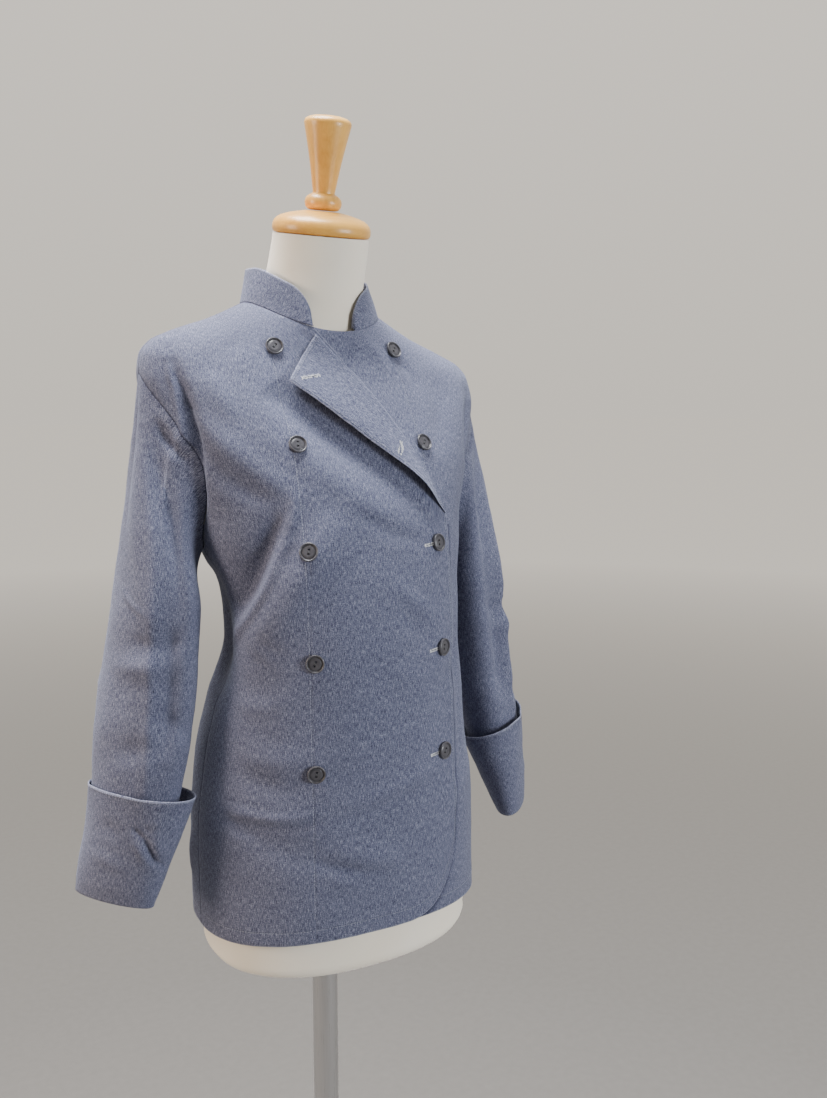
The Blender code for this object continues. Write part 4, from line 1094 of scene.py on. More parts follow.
# Folds of a sleeve: places (turn round it, step) along the fold, half width, and rise.
SLEEVE_FOLDS = [
    (((40, 0.10), (100, 0.75)), 0.012, -0.0035),
    (((10, 0.30), (60, 1.30)), 0.013, 0.0030),
    (((30, 1.55), (110, 1.35)), 0.010, -0.0035),
    (((10, 1.95), (95, 1.75)), 0.010, 0.0030),
    (((60, 2.55), (150, 2.75)), 0.011, -0.0030),
    (((-60, 1.20), (-140, 1.60)), 0.012, -0.0035),
    (((-30, 2.40), (-110, 2.10)), 0.012, 0.0030),
    (((20, 3.30), (80, 3.05)), 0.012, -0.0025),
    # crease from the seam down the front, and the small dent beside it
    (((50, 0.09), (60, 0.11), (72, 0.10), (84, 0.06)), 0.0048, -0.0060),
    (((66, 0.16), (80, 0.46), (92, 0.95), (98, 1.40)), 0.0090, -0.0045),
    (((46, 0.02), (40, 0.25), (42, 0.60)), 0.0080, 0.0018),
    # pressed crease and the softness beside it
    (((50, 0.35), (54, 0.80), (57, 1.50), (62, 2.30), (68, 3.60), (70, 4.20)), 0.0070, 0.0042),
    (((72, 0.50), (80, 1.60), (84, 2.40), (88, 3.40)), 0.0120, -0.0080),
    (((26, 1.20), (28, 2.20), (34, 3.20)), 0.0110, -0.0010),
    # two sharp scratches of creases
    (((2, 0.94), (28, 1.00), (54, 1.12)), 0.0020, 0.0013),
    (((38, 1.43), (62, 1.32)), 0.0018, 0.0011),
    # hidden side
    (((-150, 0.90), (-160, 1.80), (-150, 2.60)), 0.0090, -0.0018),
    (((-20, 0.40), (-60, 0.90), (-100, 1.00)), 0.0090, -0.0022),
    (((-40, 3.10), (-90, 2.90), (-130, 3.10)), 0.0080, -0.0018),
    (((150, 0.60), (170, 1.20)), 0.0080, -0.0016),
]


def sleeve_value(name, step):
    return smooth_column(SLEEVE_TABLE["step"], SLEEVE_TABLE[name], step)


def sleeve_ring(turn, step):
    """A ring of the left sleeve, square to its axis."""
    reach = 0.05
    outward = sleeve_value("out", step + reach) - sleeve_value("out", step - reach)
    down = sleeve_value("height", step - reach) - sleeve_value("height", step + reach)
    tilt = np.arctan(outward / down)
    lie = np.radians(sleeve_value("lie", step))
    along = sleeve_value("long", step) * np.cos(turn + lie)
    aside = sleeve_value("short", step) * np.sin(turn + lie)
    across = along * np.cos(lie) + aside * np.sin(lie)
    x = sleeve_value("out", step) + across * np.cos(tilt)
    y = sleeve_value("y", step) + along * np.sin(lie) - aside * np.cos(lie)
    z = sleeve_value("height", step) + across * np.sin(tilt)
    return np.stack([x, y, z], axis=-1)


def armhole(turn, side):
    """The start of the sleeve: just inside the armhole, and over its lower edge."""
    part = (1 + np.cos(turn)) / 2
    height = UNDERARM + (SHOULDER_TIP - UNDERARM) * part
    cut = np.where(np.sin(turn) > 0, ARMHOLE_TURN, ARMHOLE_TURN_BACK)
    ahead = armhole_turn(height, cut)
    spot = np.where(np.sin(turn) > 0, np.pi / 2 - ahead, np.pi / 2 + ahead)
    over = CLOTH + 2 * SOLID_SEAM * ramp(-np.cos(turn), *SEAM_OVER)
    seam = body(side * spot, height, over)
    middle = smooth_body(side * np.pi / 2, (UNDERARM + SHOULDER_TIP) / 2)
    inward = unit(middle - seam)
    tuck = SOLID_SEAM * ramp(np.cos(turn), *SEAM_UNDER)
    return seam + inward * tuck[..., None], inward


def smooth_sleeve(turn, step, side=1):
    """The sleeve without folds; side is 1 for the wearer's left, -1 for the right."""
    turn, step = np.broadcast_arrays(np.asarray(turn, float), np.asarray(step, float))
    mirror = np.array([side, 1.0, 1.0])
    ring = sleeve_ring(turn, np.maximum(step, 1.0)) * mirror
    lower = np.clip((step - 1) / (WRIST - 1), 0.0, 1.0)
    hang = WRIST_RISE[side] * lower ** WRIST_RISE_POWER
    back = np.cos(turn + np.radians(sleeve_value("lie", np.maximum(step, 1.0))))
    ring[..., 2] += hang - WRIST_LEAN[side] * back * ramp(step, *WRIST_LEAN_STEPS)
    row = turn[:1] if turn.ndim > 1 else turn
    seam, inward = armhole(row, side)
    first = sleeve_ring(turn, np.ones_like(step)) * mirror
    second = sleeve_ring(turn, np.full_like(step, 1.06)) * mirror
    length = np.linalg.norm(first - seam, axis=-1)[..., None]
    high = (0.5 + 0.5 * np.cos(turn))[..., None]
    out_and_down = np.stack([side * (CAP_OUT + CAP_OUT_SIDES * np.abs(np.sin(turn))),
                             np.zeros_like(turn), -np.ones_like(turn) * CAP_DOWN], axis=-1)
    leave = unit(inward * CAP_IN * high ** CAP_IN_POWER + out_and_down)
    arrive = unit(second - first)
    part = np.clip(step, 0.0, 1.0)[..., None]
    cap = (
        seam * (1 + 2 * part) * (1 - part) ** 2
        + leave * length * CAP_PULL * part * (1 - part) ** 2
        + first * part ** 2 * (3 - 2 * part)
        + arrive * length * part ** 2 * (part - 1)
    )
    return np.where(step[..., None] < 1.0, cap, ring)


def on_side(side):
    """The place function of one sleeve."""
    return lambda turn, step: smooth_sleeve(turn, step, side)


def sleeve_grid(turn, step, side):
    """Points of a sleeve with its folds, and the way out at each."""
    place = on_side(side)
    turn, step = np.broadcast_arrays(np.asarray(turn, float), np.asarray(step, float))
    reach = 0.02
    inside = np.clip(step, 0.03, WRIST - 0.05)
    around = place(turn + reach, inside) - place(turn - reach, inside)
    down = place(turn, inside + reach) - place(turn, inside - reach)
    normal = unit(np.cross(around, down)) * side
    base = place(turn, step)
    lift = fold_rise(base, fold_paths(SLEEVE_FOLDS, place)) * ramp(step, *FOLDS_GROW)
    lift = lift + wrinkle(base, CLOTH_WAVES) * ramp(step, *WAVES_GROW)
    lift = lift * ramp(step, *WRIST_CALM)
    return base + normal * lift[..., None], normal


def build_sleeve(name, node, side):
    outer, normal = sleeve_grid(SLEEVE_TURNS, SLEEVE_ROWS, side)
    across = SLEEVE_TURNS * SLEEVE_RADIUS + 0.0 * SLEEVE_ROWS
    grain = np.stack([across + SLEEVE_CUT + side, outer[..., 2]], -1)
    joins = np.stack([arc(outer, 0), np.ones_like(across)], -1)
    piece = shell(name, outer, outer - normal * THIN, grain, joins=joins, wrap=True,
                  flip=side > 0)
    dress(piece, node)


build_sleeve("sleeve_cloth_right", "sleeve_right", -1)
build_sleeve("sleeve_cloth_left", "sleeve_left", 1)


# ---------------------------------------------------------------- cuffs
# The end of each sleeve, turned back once about a hand wide, so two layers of chambray.
# The turned edge stands off the sleeve in front; its stitched hem and its rubbed edge with a
# painted highlight show as a pale line.

# By side: the step the edge reaches, its climb and where, its flare and the tight share.
CUFF_COLUMNS = "step climb climb_turn flare tight".split()
CUFFS = {
    1: (3.93, 0.20, 45, 0.0070, 0.30),
    -1: (4.02, 0.00, 0, 0.0130, 0.12),
}
CUFF_OPEN = np.radians(130)      # the turn where the cuff stands off most
CUFF_OPEN_POWER, CUFF_FLARE_POWER = 4, 1.3
CUFF_TIGHT_STEP = 4.6            # it lies close above this step, away from that turn
CUFF_THICK, CUFF_AIR, CUFF_WAKE = 0.0013, 0.0016, 0.0008
# Shares of the cuff's depth over which its room, wrinkles and creases grow.
CUFF_WAKES, CUFF_WAVES_GROW, CUFF_FOLDS_GROW = (0.0, 0.15), (0.05, 0.3), (0.0, 0.12)
CUFF_STITCH = 0.0016             # its hem row, from the turned edge
CUFF_ROWS = 44
CUFF_CUT = 11.0
CUFF_WAVES_SHIFT = 0.3           # other wrinkles than the sleeve's
CUFF_FOLDS = [
    (((70, 4.56), (80, 4.56), (88, 4.64)), 0.0026, -0.0018),
    (((64, 4.58), (70, 4.64), (80, 4.72)), 0.0020, -0.0040),
    (((78, 4.70), (88, 4.92), (100, 5.14), (124, 5.26)), 0.0022, -0.0046),
    (((66, 4.78), (78, 4.98), (90, 5.20)), 0.0040, 0.0020),
    (((90, 4.60), (100, 4.86), (112, 5.04)), 0.0035, 0.0016),
    (((84, 4.40), (100, 4.46)), 0.0030, 0.0010),
    (((20, 4.60), (50, 4.80)), 0.0080, -0.0010),
    (((10, 5.20), (60, 5.35)), 0.0070, 0.0010),
    (((-60, 4.50), (-100, 5.10)), 0.0060, -0.0016),
    (((-120, 4.40), (-140, 5.00)), 0.0070, 0.0014),
]


def build_cuff(name, node, side, folds):
    turns = SLEEVE_TURNS
    share = np.linspace(0.0, 1.0, CUFF_ROWS)[:, None]
    edge = dict(zip(CUFF_COLUMNS, CUFFS[side]))
    top = edge["step"] - edge["climb"] * np.cos(turns - np.radians(edge["climb_turn"]))
    step = WRIST + (top - WRIST) * share
    gap = (2 * SOLID_SEAM + CUFF_WAKE * ramp(share, *CUFF_WAKES)
           + edge["flare"] * share ** CUFF_FLARE_POWER)
    facing = np.cos((turns - CUFF_OPEN) / 2) ** CUFF_OPEN_POWER
    loose = edge["tight"] + (1 - edge["tight"]) * facing
    stand = 1 - (1 - loose) * ramp(step, WRIST, CUFF_TIGHT_STEP)
    points, normal = sleeve_grid(turns, step, side)
    smooth = smooth_sleeve(turns, step, side)
    lift = fold_rise(smooth, fold_paths(folds, on_side(side)))
    waves = wrinkle(smooth + CUFF_WAVES_SHIFT, CLOTH_WAVES)
    lift = (lift + waves * ramp(share, *CUFF_WAVES_GROW)) * ramp(share, *CUFF_FOLDS_GROW)
    outer = points + normal * (gap * stand + CUFF_AIR + lift)[..., None]
    inner = outer - normal * CUFF_THICK
    upward = arc(outer, 0)
    one, from_edge = np.ones_like(upward), upward[-1:] - upward
    grain = np.stack([turns * SLEEVE_RADIUS + CUFF_CUT + side + 0.0 * share, upward], -1)
    lines = np.stack([from_edge - CUFF_STITCH, one], -1)
    seams = np.stack([one, from_edge], -1)
    piece = shell(name, outer, inner, grain, lines, seams, wrap=True, flip=side < 0)
    spots, outs = (np.concatenate([line, line[:1]])
                   for line in line_across(outer[::-1], inner[::-1], 0, CUFF_STITCH))
    thread = stitch_set(name + "_stitches", run_stitches(spots, outs), FACING_THREAD)
    dress(piece, node)


build_cuff("cuff_cloth_right", "cuff_right", -1, CUFF_FOLDS)
build_cuff("cuff_cloth_left", "cuff_left", 1, CUFF_FOLDS[6:])


# ---------------------------------------------------------------- buttons
# Ten dark grey resin buttons, turned with a raised rim and a dished middle, each with two
# holes and sewn on with a short bar of thread between them.

# Rows: height, x of the right button and of the left one, and the turn of the holes.
BUTTON_ROWS = [
    (1.3340, -0.069, 0.064, 40, 40),
    (1.2405, -0.069, 0.069, 5, 35),
    (1.1430, -0.070, 0.069, 10, 5),
    (1.0390, -0.069, 0.069, 20, 12),
    (0.9320, -0.070, 0.070, 10, 30),
]
LAST_OPEN_ROW = 2         # the rows above the closed ones
BUTTON_REST = 0.00015
BUTTON_SIDES, DRILL_SIDES = 48, 20
HOLE_RADIUS, HOLE_PLACE = 0.0012, 0.0019
DRILL_START, DRILL_END = -0.002, 0.006
SHARP = np.radians(50)
SEAT_REACH, SEAT_RIM = 0.011, 0.0082             # where the cloth under a button is felt
BAR_HEIGHT, BAR_STRANDS, BAR_RADIUS = 0.0022, (-0.00035, 0.0, 0.00035), 0.00022
# Dark thread for the buttons' bars, also used for the painted shade along the buttonholes' cuts.
BUTTON_THREAD_AND_SLIT_SHADE = thread_material("thread_button_and_slit_shade", (0.07, 0.075, 0.085))
# Radius and height round the section, from the middle of the underside to the top.
BUTTON_SECTION = [
    (0.0000, 0.0004), (0.0060, 0.0004), (0.0075, 0.0006), (0.0087, 0.0012), (0.0090, 0.0020),
    (0.0089, 0.0028), (0.0086, 0.0033), (0.0082, 0.0035), (0.0078, 0.0033), (0.0074, 0.0025),
    (0.0069, 0.0018), (0.0063, 0.0019), (0.0057, 0.0024), (0.0040, 0.0024), (0.0020, 0.0023),
    (0.0000, 0.0023),
]


def ringed_mesh(name, rings):
    """A closed mesh of rings of points; a ring of one point is a pole."""
    shape = bmesh.new()
    loops = [[shape.verts.new(tuple(point)) for point in ring] for ring in rings]
    segments = max(len(loop) for loop in loops)
    for low, high in zip(loops, loops[1:]):
        for k in range(segments):
            n = (k + 1) % segments
            corners = [low[k % len(low)], low[n % len(low)],
                       high[n % len(high)], high[k % len(high)]]
            corners = list(dict.fromkeys(corners))
            if len(corners) > 2:
                shape.faces.new(corners)
    for end in (loops[0][::-1], loops[-1]):
        if len(end) > 1:
            shape.faces.new(end)
    bmesh.ops.recalc_face_normals(shape, faces=shape.faces[:])
    mesh = bpy.data.meshes.new(name)
    shape.to_mesh(mesh)
    shape.free()
    return mesh


def turned_mesh(name, section, segments):
    """A mesh turned round Z from a section of radius and height."""
    angles = 2 * np.pi * np.arange(segments) / segments
    return ringed_mesh(name, [
        [(radius * np.cos(a), radius * np.sin(a), height) for a in (angles if radius else [0])]
        for radius, height in section])


def show_piece(name, mesh, material, node):
    """Puts a hard piece in the scene with its material, hangs it on the root, and hides the solid
    it stands for.
    """
    mesh.materials.clear()
    mesh.materials.append(material)
    piece = put_in_scene(name, mesh)
    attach(piece, "root")
    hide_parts(node)


def button_mesh():
    """The turned button with its two holes cut through."""
    solid = turned_mesh("button_blank", BUTTON_SECTION, BUTTON_SIDES)
    blank = put_in_scene("button_blank", solid)
    section = [(0.0, DRILL_START), (HOLE_RADIUS, DRILL_START), (HOLE_RADIUS, DRILL_END),
               (0.0, DRILL_END)]
    drills = []
    for side in (-1, 1):
        drill = put_in_scene("drill", turned_mesh("drill", section, DRILL_SIDES))
        drill.location = (0.0, side * HOLE_PLACE, 0.0)
        cut = blank.modifiers.new("hole", "BOOLEAN")
        cut.operation = "DIFFERENCE"
        cut.solver = "EXACT"
        cut.object = drill
        drills.append(drill)
    bpy.context.view_layer.update()
    seen = blank.evaluated_get(bpy.context.evaluated_depsgraph_get())
    mesh = bpy.data.meshes.new_from_object(seen)
    for item in [blank, *drills]:
        bpy.data.objects.remove(item, do_unlink=True)
    mesh.shade_smooth()
    mesh.set_sharp_from_angle(angle=SHARP)
    return mesh


def button_material():
    """Dark grey resin, faintly clouded and scratched."""
    material, nodes = new_material("button_resin")
    place = nodes.add("TexCoord").outputs["Object"]
    cloud = nodes.noise(place, 260.0, 4.0)
    scratch = nodes.noise(place, 900.0, 2.0)
    nodes.finish(Base_Color=nodes.tones(cloud, (0.3, (0.056, 0.055, 0.066)),
                                        (0.7, (0.088, 0.086, 0.098))),
                 Roughness=nodes.scaled(scratch, 0.20, 0.24))
    nodes.relief(scratch, 0.08, 0.0004)
    return material


def button_seat(turn, height, under):
    """Where a button's underside lies on curved cloth, and which way it faces."""
    middle = body(turn, height, under)
    reach = SEAT_REACH * np.array([[0, 0], [1, 0], [-1, 0], [0, 1], [0, -1]])
    x, z = middle[0] + reach[:, 0], middle[2] + reach[:, 1]
    spots = body(*front_place(x, z), under)
    normal = unit(np.cross(spots[1] - spots[2], spots[3] - spots[4]))
    angles = np.radians(np.arange(0, 360, 20))
    ring = body(*front_place(middle[0] + SEAT_RIM * np.cos(angles),
                             middle[2] + SEAT_RIM * np.sin(angles)), under)
    highest = max(0.0, float(np.max((ring - middle) @ normal)))
    return Vector(middle + normal * (highest + BUTTON_REST)), Vector(normal)


def button_thread(name, place):
    """The bar of thread that crosses between a button's holes."""
    out = np.array((place.to_3x3() @ Vector((0, 0, 1))).normalized())
    rows = []
    for shift in BAR_STRANDS:
        start, end = (place @ Vector((shift, y, BAR_HEIGHT)) for y in (-HOLE_PLACE, HOLE_PLACE))
        rows.append((np.array((start + end) / 2), np.array(end - start), out))
    stitch_set(name, rows, BUTTON_THREAD_AND_SLIT_SHADE, BAR_RADIUS)


def build_buttons():
    resin = button_material()
    pattern = button_mesh()
    for row, (z, right_x, left_x, right_turn, left_turn) in enumerate(BUTTON_ROWS, start=1):
        for side, x, spin in (("right", right_x, right_turn), ("left", left_x, left_turn)):
            turn, height = front_place(x, z)
            on_right_front = side == "right" or row > LAST_OPEN_ROW
            under = CLOTH + float(right_front_out(turn, height)) * on_right_front
            spot, normal = button_seat(turn, height, under)
            upright = Vector((0, 0, 1)) - normal * normal.z
            upright.normalize()
            aside = upright.cross(normal)
            axes = Matrix((aside, upright, normal)).transposed().to_4x4()
            place = Matrix.Translation(spot) @ axes @ Matrix.Rotation(-np.radians(spin), 4, "Z")
            mesh = pattern.copy()
            mesh.transform(place)
            name = f"button_{side}_{row}"
            show_piece(name + "_dished", mesh, resin, name)
            button_thread(name + "_thread", place)


build_buttons()


# ---------------------------------------------------------------- buttonholes
# Buttonholes worked in pale thread: two rows of close stitches, worn thin in places, with
# dark dashes of painted shade along the cut between them. Three lie under the far buttons of
# the closed rows, and two show on the turned corner.

HOLE_THREAD = thread_material("thread_buttonhole", (0.90, 0.91, 0.92))
HOLE_THREAD_RADIUS = 0.00026
HOLE_PITCH = 0.00062
HOLE_BAR = 0.0015         # how far a stitch reaches from the slit
HOLE_SLIT = 0.00015
HOLE_END = 0.0035         # the stitches near the ends are whole, the others worn thin
WORN_AWAY, WORN_AT_END = 0.25, 0.08              # share of the stitches that are gone
BAR_LEAN, BAR_SIZES, END_SIZES = 0.6, (0.7, 1.5), (0.9, 1.8)   # handwork isn't even
END_BARS = np.linspace(-0.0013, 0.0013, 6)
# Dashes of painted shade along a buttonhole's cut: pitch, length and inset from its ends.
SLIT_SHADE_PITCH, SLIT_SHADE_DASH, SLIT_SHADE_INSET = 0.0012, 0.0018, 0.001
HOLE_BEFORE, HOLE_BEYOND, HOLE_SAG = 0.0165, 0.0015, 0.0012   # of a far button's middle
CORNER_HOLES = [((-0.0515, 1.2988), (-0.0335, 1.3028)), ((0.0320, 1.2290), (0.0382, 1.2400))]


def buttonhole(start, end, out_of, seed):
    """The worked edge of a buttonhole between two (x, z) places, and dark dashes of
    painted shade along its cut.
    """
    start, end = np.array(start), np.array(end)
    reach = end - start
    length = np.linalg.norm(reach)
    along = reach / length
    aside = np.array([-along[1], along[0]])
    chance = np.random.default_rng(seed)
    worked, slit_shade = [], []

    def sew(found, middle, direction, size):
        spots = np.stack([middle - direction * size / 2, middle, middle + direction * size / 2])
        points, normal = out_of(spots[:, 0], spots[:, 1])
        found.append((points[1], points[2] - points[0], normal[1]))

    for distance in np.arange(0.0, length, HOLE_PITCH):
        near_end = min(distance, length - distance) < HOLE_END
        for side in (-1, 1):
            if chance.random() < (WORN_AT_END if near_end else WORN_AWAY):
                continue
            spot = start + along * distance + aside * side * (HOLE_BAR / 2 + HOLE_SLIT)
            lean = along * chance.uniform(-BAR_LEAN, BAR_LEAN)
            way = (aside + lean) / np.linalg.norm(aside + lean)
            sew(worked, spot, way, HOLE_BAR * chance.uniform(*BAR_SIZES))
    for end_place, way in ((start, -1), (end, 1)):
        for shift in END_BARS:
            size = HOLE_BAR * chance.uniform(*END_SIZES)
            sew(worked, end_place + along * way * HOLE_BAR / 2 + aside * shift, along, size)
    # Dark dashes of painted shade where the cut parts the cloth.
    for distance in np.arange(SLIT_SHADE_INSET, length - SLIT_SHADE_INSET, SLIT_SHADE_PITCH):
        sew(slit_shade, start + along * distance, along, SLIT_SHADE_DASH)
    return worked, slit_shade


def on_top_front(x, z):
    """A place of the right front, and the way out there."""
    turn, height = front_place(x, z)
    points, normal = body_grid(turn, height)
    return points + normal * (right_front_out(turn, height) + CLOTH)[..., None], normal


CORNER_SAMPLES = corner_grid(60, 40)


def on_turned_corner(x, z):
    """The nearest place of the turned corner, since it stands off the front."""
    grid_x, grid_z, outer, inner = CORNER_SAMPLES
    points, outs = [], []
    for one_x, one_z in zip(x, z):
        gap = (grid_x - one_x) ** 2 + (grid_z - one_z) ** 2
        near = np.argsort(gap.ravel())[:4]
        weight = 1 / (gap.ravel()[near] + 1e-8)
        weight = weight / weight.sum()
        point = weight @ outer.reshape(-1, 3)[near]
        under = weight @ inner.reshape(-1, 3)[near]
        points.append(point)
        outs.append(point - under)
    return np.array(points), unit(np.array(outs))


def build_buttonholes():
    front_holes = [((left_x - HOLE_BEFORE, z - HOLE_SAG), (left_x + HOLE_BEYOND, z))
                   for z, _, left_x, _, _ in BUTTON_ROWS[LAST_OPEN_ROW:]]
    for name, holes, out_of in (("top_front", front_holes, on_top_front),
                                ("turned_corner", CORNER_HOLES, on_turned_corner)):
        worked, slit_shades = [], []
        for seed, (start, end) in enumerate(holes):
            around, slit_shade = buttonhole(start, end, out_of, seed)
            worked += around
            slit_shades += slit_shade
        stitch_set(f"buttonholes_{name}", worked, HOLE_THREAD, HOLE_THREAD_RADIUS)
        stitch_set(f"buttonhole_slit_shades_{name}", slit_shades, BUTTON_THREAD_AND_SLIT_SHADE, HOLE_THREAD_RADIUS)


build_buttonholes()


# ---------------------------------------------------------------- dress form
# A padded torso without arms or legs, under ivory jersey that is pulled smooth over it.
# Only its neck and its foot, which is rounded below, show outside the jacket.

FORM_BOTTOM = 0.715
FORM_FOOT = [(0.0, 0.90), (0.001, 0.93), (0.004, 0.965), (0.009, 0.99), (0.014, 1.0)]
FOOT_MIDDLE, FOOT_INSET = np.array([0.0, -0.030, 0.0]), 0.009
# How far the form stays inside the jacket at each height.
FORM_GAPS = [
    (0.70, 0.009), (0.92, 0.010), (1.00, 0.019), (1.09, 0.021), (1.15, 0.013),
    (1.24, 0.013), (1.30, 0.012), (1.34, 0.008), (1.40, 0.009),
]
TORSO_HEIGHTS = np.linspace(HEM + 0.02, 1.361, 60)
NECK_HEIGHTS = np.linspace(1.368, 1.449, 26)
NECK_COLUMNS = "height half y_front y_widest y_back tilt".split()
NECK_RINGS = [
    (1.366, 0.0610, -0.0420, 0.004, 0.0570, 18),
    (1.384, 0.0545, -0.0425, 0.002, 0.0520, 16),
    (1.408, 0.0507, -0.0475, -0.001, 0.0490, 12),
    (1.428, 0.0498, -0.0545, -0.006, 0.0430, 10),
    (1.449, 0.0490, -0.0610, -0.0125, 0.0360, 10),
]
NECK_TABLE = table(NECK_RINGS, NECK_COLUMNS)
FORM_SIDES = 96
JERSEY_WALES, JERSEY_COURSE = 460.0, 0.0009      # round the form, and up it in metres


def jersey_material():
    """Ivory knitted cotton with fine upright wales."""
    material, nodes = new_material("form_jersey")
    math = nodes.math
    place = nodes.add("TexCoord").outputs["Object"]
    split = nodes.add("SeparateXYZ", {0: place}).outputs
    angle = math("ARCTAN2", split[0], split[1])
    wales = math("SINE", math("MULTIPLY", angle, JERSEY_WALES))
    courses = math("SINE", math("MULTIPLY", split[2], 2 * np.pi / JERSEY_COURSE))
    loops = math("MULTIPLY", wales, courses)
    soft = nodes.noise(place, 14.0, 3.0)
    tone = nodes.tones(nodes.scaled(loops, 0.05, soft), (0.3, (0.93, 0.85, 0.71)),
                       (0.7, (0.95, 0.89, 0.77)))
    nodes.finish(Base_Color=tone, Roughness=0.85, Sheen_Weight=0.25)
    nodes.relief(loops, 0.25, 0.00015)
    return material


def neck_ring(height, turns):
    half, y_front, y_widest, y_back, tilt = (
        smooth_column(NECK_TABLE["height"], NECK_TABLE[name], height)
        for name in NECK_COLUMNS[1:])
    end = np.where(np.cos(turns) > 0, y_front, y_back)
    y = y_widest + (end - y_widest) * np.abs(np.cos(turns))
    z = height + np.tan(np.radians(tilt)) * (y - y_widest)
    x = half * np.sin(turns) + NECK_SHIFT * ramp(height, 1.440, 1.370)
    return np.stack([x, y, z], axis=-1)


def build_form():
    turns = np.arange(FORM_SIDES) * 2 * np.pi / FORM_SIDES
    gaps = table(FORM_GAPS, ["height", "gap"])
    bottom = smooth_body(turns, np.full(FORM_SIDES, HEM))
    inset = bottom - surface_normal(smooth_body, turns, HEM + END_MARGIN) * FOOT_INSET
    rings = []
    for rise, share in FORM_FOOT:
        ring = FOOT_MIDDLE + (inset - FOOT_MIDDLE) * share
        ring[:, 2] = FORM_BOTTOM + rise
        rings.append(ring)
    for height in TORSO_HEIGHTS:
        gap = smooth_column(gaps["height"], gaps["gap"], height)
        place = smooth_body(turns, np.full(FORM_SIDES, height))
        rings.append(place - surface_normal(smooth_body, turns, height) * gap)
    rings += [neck_ring(height, turns) for height in NECK_HEIGHTS]
    mesh = ringed_mesh("form_jersey_torso", rings)
    mesh.shade_smooth()
    mesh.set_sharp_from_angle(angle=SHARP)
    show_piece("form_jersey_torso", mesh, jersey_material(), "form_torso")


build_form()


# ---------------------------------------------------------------- cap and knob
# Turned and varnished beech: a flat cap that closes the neck, and a tapered knob to carry
# the form by, whose grain runs up the knob and across the cap.

NECK_TILT = np.radians(10)
NECK_TOP = Vector((0.0, -0.0125, 1.4490))
CAP_SECTION = [
    (0.0000, 0.0004), (0.0440, 0.0004), (0.0475, 0.0008), (0.0492, 0.0022), (0.0500, 0.0045),
    (0.0500, 0.0070), (0.0495, 0.0100), (0.0483, 0.0128), (0.0460, 0.0152), (0.0425, 0.0176),
    (0.0370, 0.0197), (0.0300, 0.0216), (0.0230, 0.0230), (0.0180, 0.0240), (0.0000, 0.0240),
]
KNOB_SECTION = [
    (0.0000, 0.0248), (0.0120, 0.0248), (0.0155, 0.0256), (0.0178, 0.0280), (0.0188, 0.0320),
    (0.0182, 0.0355), (0.0162, 0.0383), (0.0130, 0.0402), (0.0112, 0.0412), (0.0112, 0.0430),
    (0.0120, 0.0470), (0.0134, 0.0560), (0.0156, 0.0690), (0.0178, 0.0800), (0.0206, 0.0930),
    (0.0228, 0.1030), (0.0236, 0.1065), (0.0234, 0.1085), (0.0222, 0.1105), (0.0190, 0.1124),
    (0.0140, 0.1138), (0.0080, 0.1145), (0.0000, 0.1146),
]
# Grains to the metre across and along the wood.
BAND_GRAINS, LINE_GRAINS, FLECK_GRAINS = (70.0, 9.0), (520.0, 40.0), (900.0, 120.0)


def wood_material(name, along, light, dark):
    """Varnished beech: fine grain stretched along one axis, broad bands and short flecks."""
    material, nodes = new_material(name)
    place = nodes.add("TexCoord").outputs["Object"]
    inward = nodes.add("VectorMath", {0: place, 1: tuple(NECK_TOP)},
                       operation="SUBTRACT").outputs[0]

    def grain(sizes, detail):
        scales = [sizes[axis == along] for axis in range(3)]
        return nodes.stretched_noise(inward, scales, detail, Distortion=0.4)

    bands, lines, flecks = (grain(BAND_GRAINS, 4.0), grain(LINE_GRAINS, 3.0),
                            grain(FLECK_GRAINS, 1.0))
    mixed = nodes.math("ADD", nodes.math("MULTIPLY", bands, 0.65),
                       nodes.math("MULTIPLY", lines, 0.35))
    nodes.finish(Base_Color=nodes.tones(mixed, (0.32, dark), (0.66, light)),
                 Roughness=nodes.scaled(flecks, 0.15, 0.27),
                 Coat_Weight=0.12, Coat_Roughness=0.22)
    nodes.relief(lines, 0.06, 0.0005)
    return material


def build_turned(name, node, section, material, place, segments=96):
    mesh = turned_mesh(name, section, segments)
    mesh.transform(place)
    mesh.shade_smooth()
    mesh.set_sharp_from_angle(angle=SHARP)
    show_piece(name, mesh, material, node)


lean = Matrix.Translation(NECK_TOP) @ Matrix.Rotation(NECK_TILT, 4, "X")
build_turned("neck_cap_beech", "neck_cap", CAP_SECTION,
             wood_material("beech_cap", 0, (0.84, 0.46, 0.095), (0.66, 0.31, 0.050)),
             lean)
build_turned("knob_beech", "knob", KNOB_SECTION,
             wood_material("beech_knob", 2, (0.86, 0.48, 0.105), (0.68, 0.32, 0.055)),
             lean)


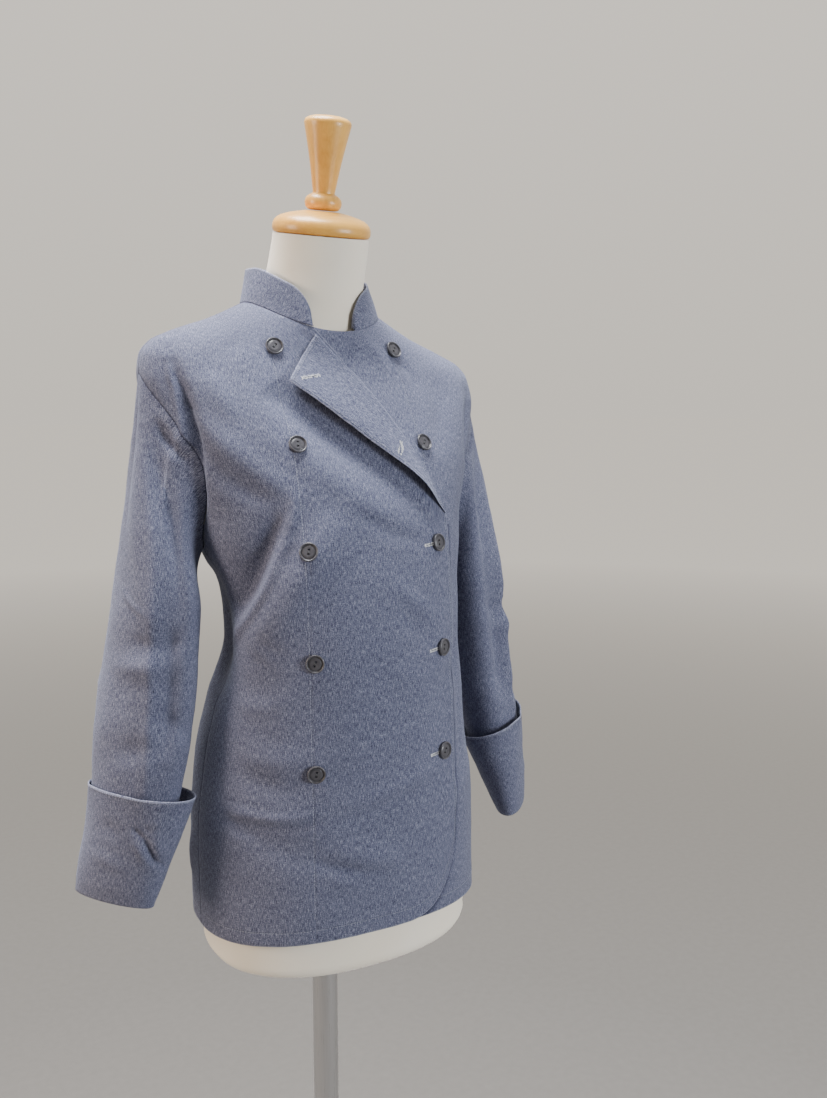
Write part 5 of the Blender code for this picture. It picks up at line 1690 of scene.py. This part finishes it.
# ---------------------------------------------------------------- stand
# A satin steel tube, drawn and ground lengthways, that stands in the collar of a flat round
# base of black painted steel.

BASE_SECTION = [
    (0.0000, 0.0000), (0.1835, 0.0000), (0.1846, 0.0004), (0.1850, 0.0012), (0.1850, 0.0048),
    (0.1846, 0.0056), (0.1835, 0.0060), (0.1200, 0.0065), (0.0600, 0.0072), (0.0400, 0.0084),
    (0.0310, 0.0096), (0.0286, 0.0120), (0.0277, 0.0300), (0.0275, 0.0560), (0.0270, 0.0571),
    (0.0260, 0.0575), (0.0000, 0.0575),
]
POLE_RADIUS, POLE_FOOT, POLE_TOP = 0.0140, 0.0578, 0.7147
POLE_SECTION = [(0.0, POLE_FOOT), (POLE_RADIUS, POLE_FOOT), (POLE_RADIUS, POLE_TOP),
                (0.0, POLE_TOP)]


def painted_material():
    """Black paint with a little orange peel, and dust on it."""
    material, nodes = new_material("base_black_paint")
    place = nodes.add("TexCoord").outputs["Object"]
    peel = nodes.noise(place, 700.0, 2.0)
    dust = nodes.noise(place, 9.0, 5.0)
    nodes.finish(Base_Color=nodes.tones(dust, (0.0, (0.022, 0.022, 0.024)),
                                        (1.0, (0.052, 0.051, 0.050))),
                 Roughness=nodes.scaled(dust, 0.25, 0.32))
    nodes.relief(peel, 0.12, 0.0004)
    return material


def steel_material():
    """Satin steel with fine lengthways lines."""
    material, nodes = new_material("pole_satin_steel")
    place = nodes.add("TexCoord").outputs["Object"]
    brush = nodes.stretched_noise(place, (2200.0, 2200.0, 22.0), 2.0)
    nodes.finish(Base_Color=nodes.tones(brush, (0.0, (0.48, 0.48, 0.49)),
                                        (1.0, (0.62, 0.62, 0.63))),
                 Metallic=1.0, Roughness=nodes.scaled(brush, 0.12, 0.24))
    nodes.relief(brush, 0.05, 0.0002)
    return material


build_turned("stand_base_painted", "stand_base", BASE_SECTION, painted_material(),
             Matrix(), 128)
build_turned("stand_pole_tube", "stand_pole", POLE_SECTION, steel_material(),
             Matrix(), 64)


bpy.context.view_layer.update()
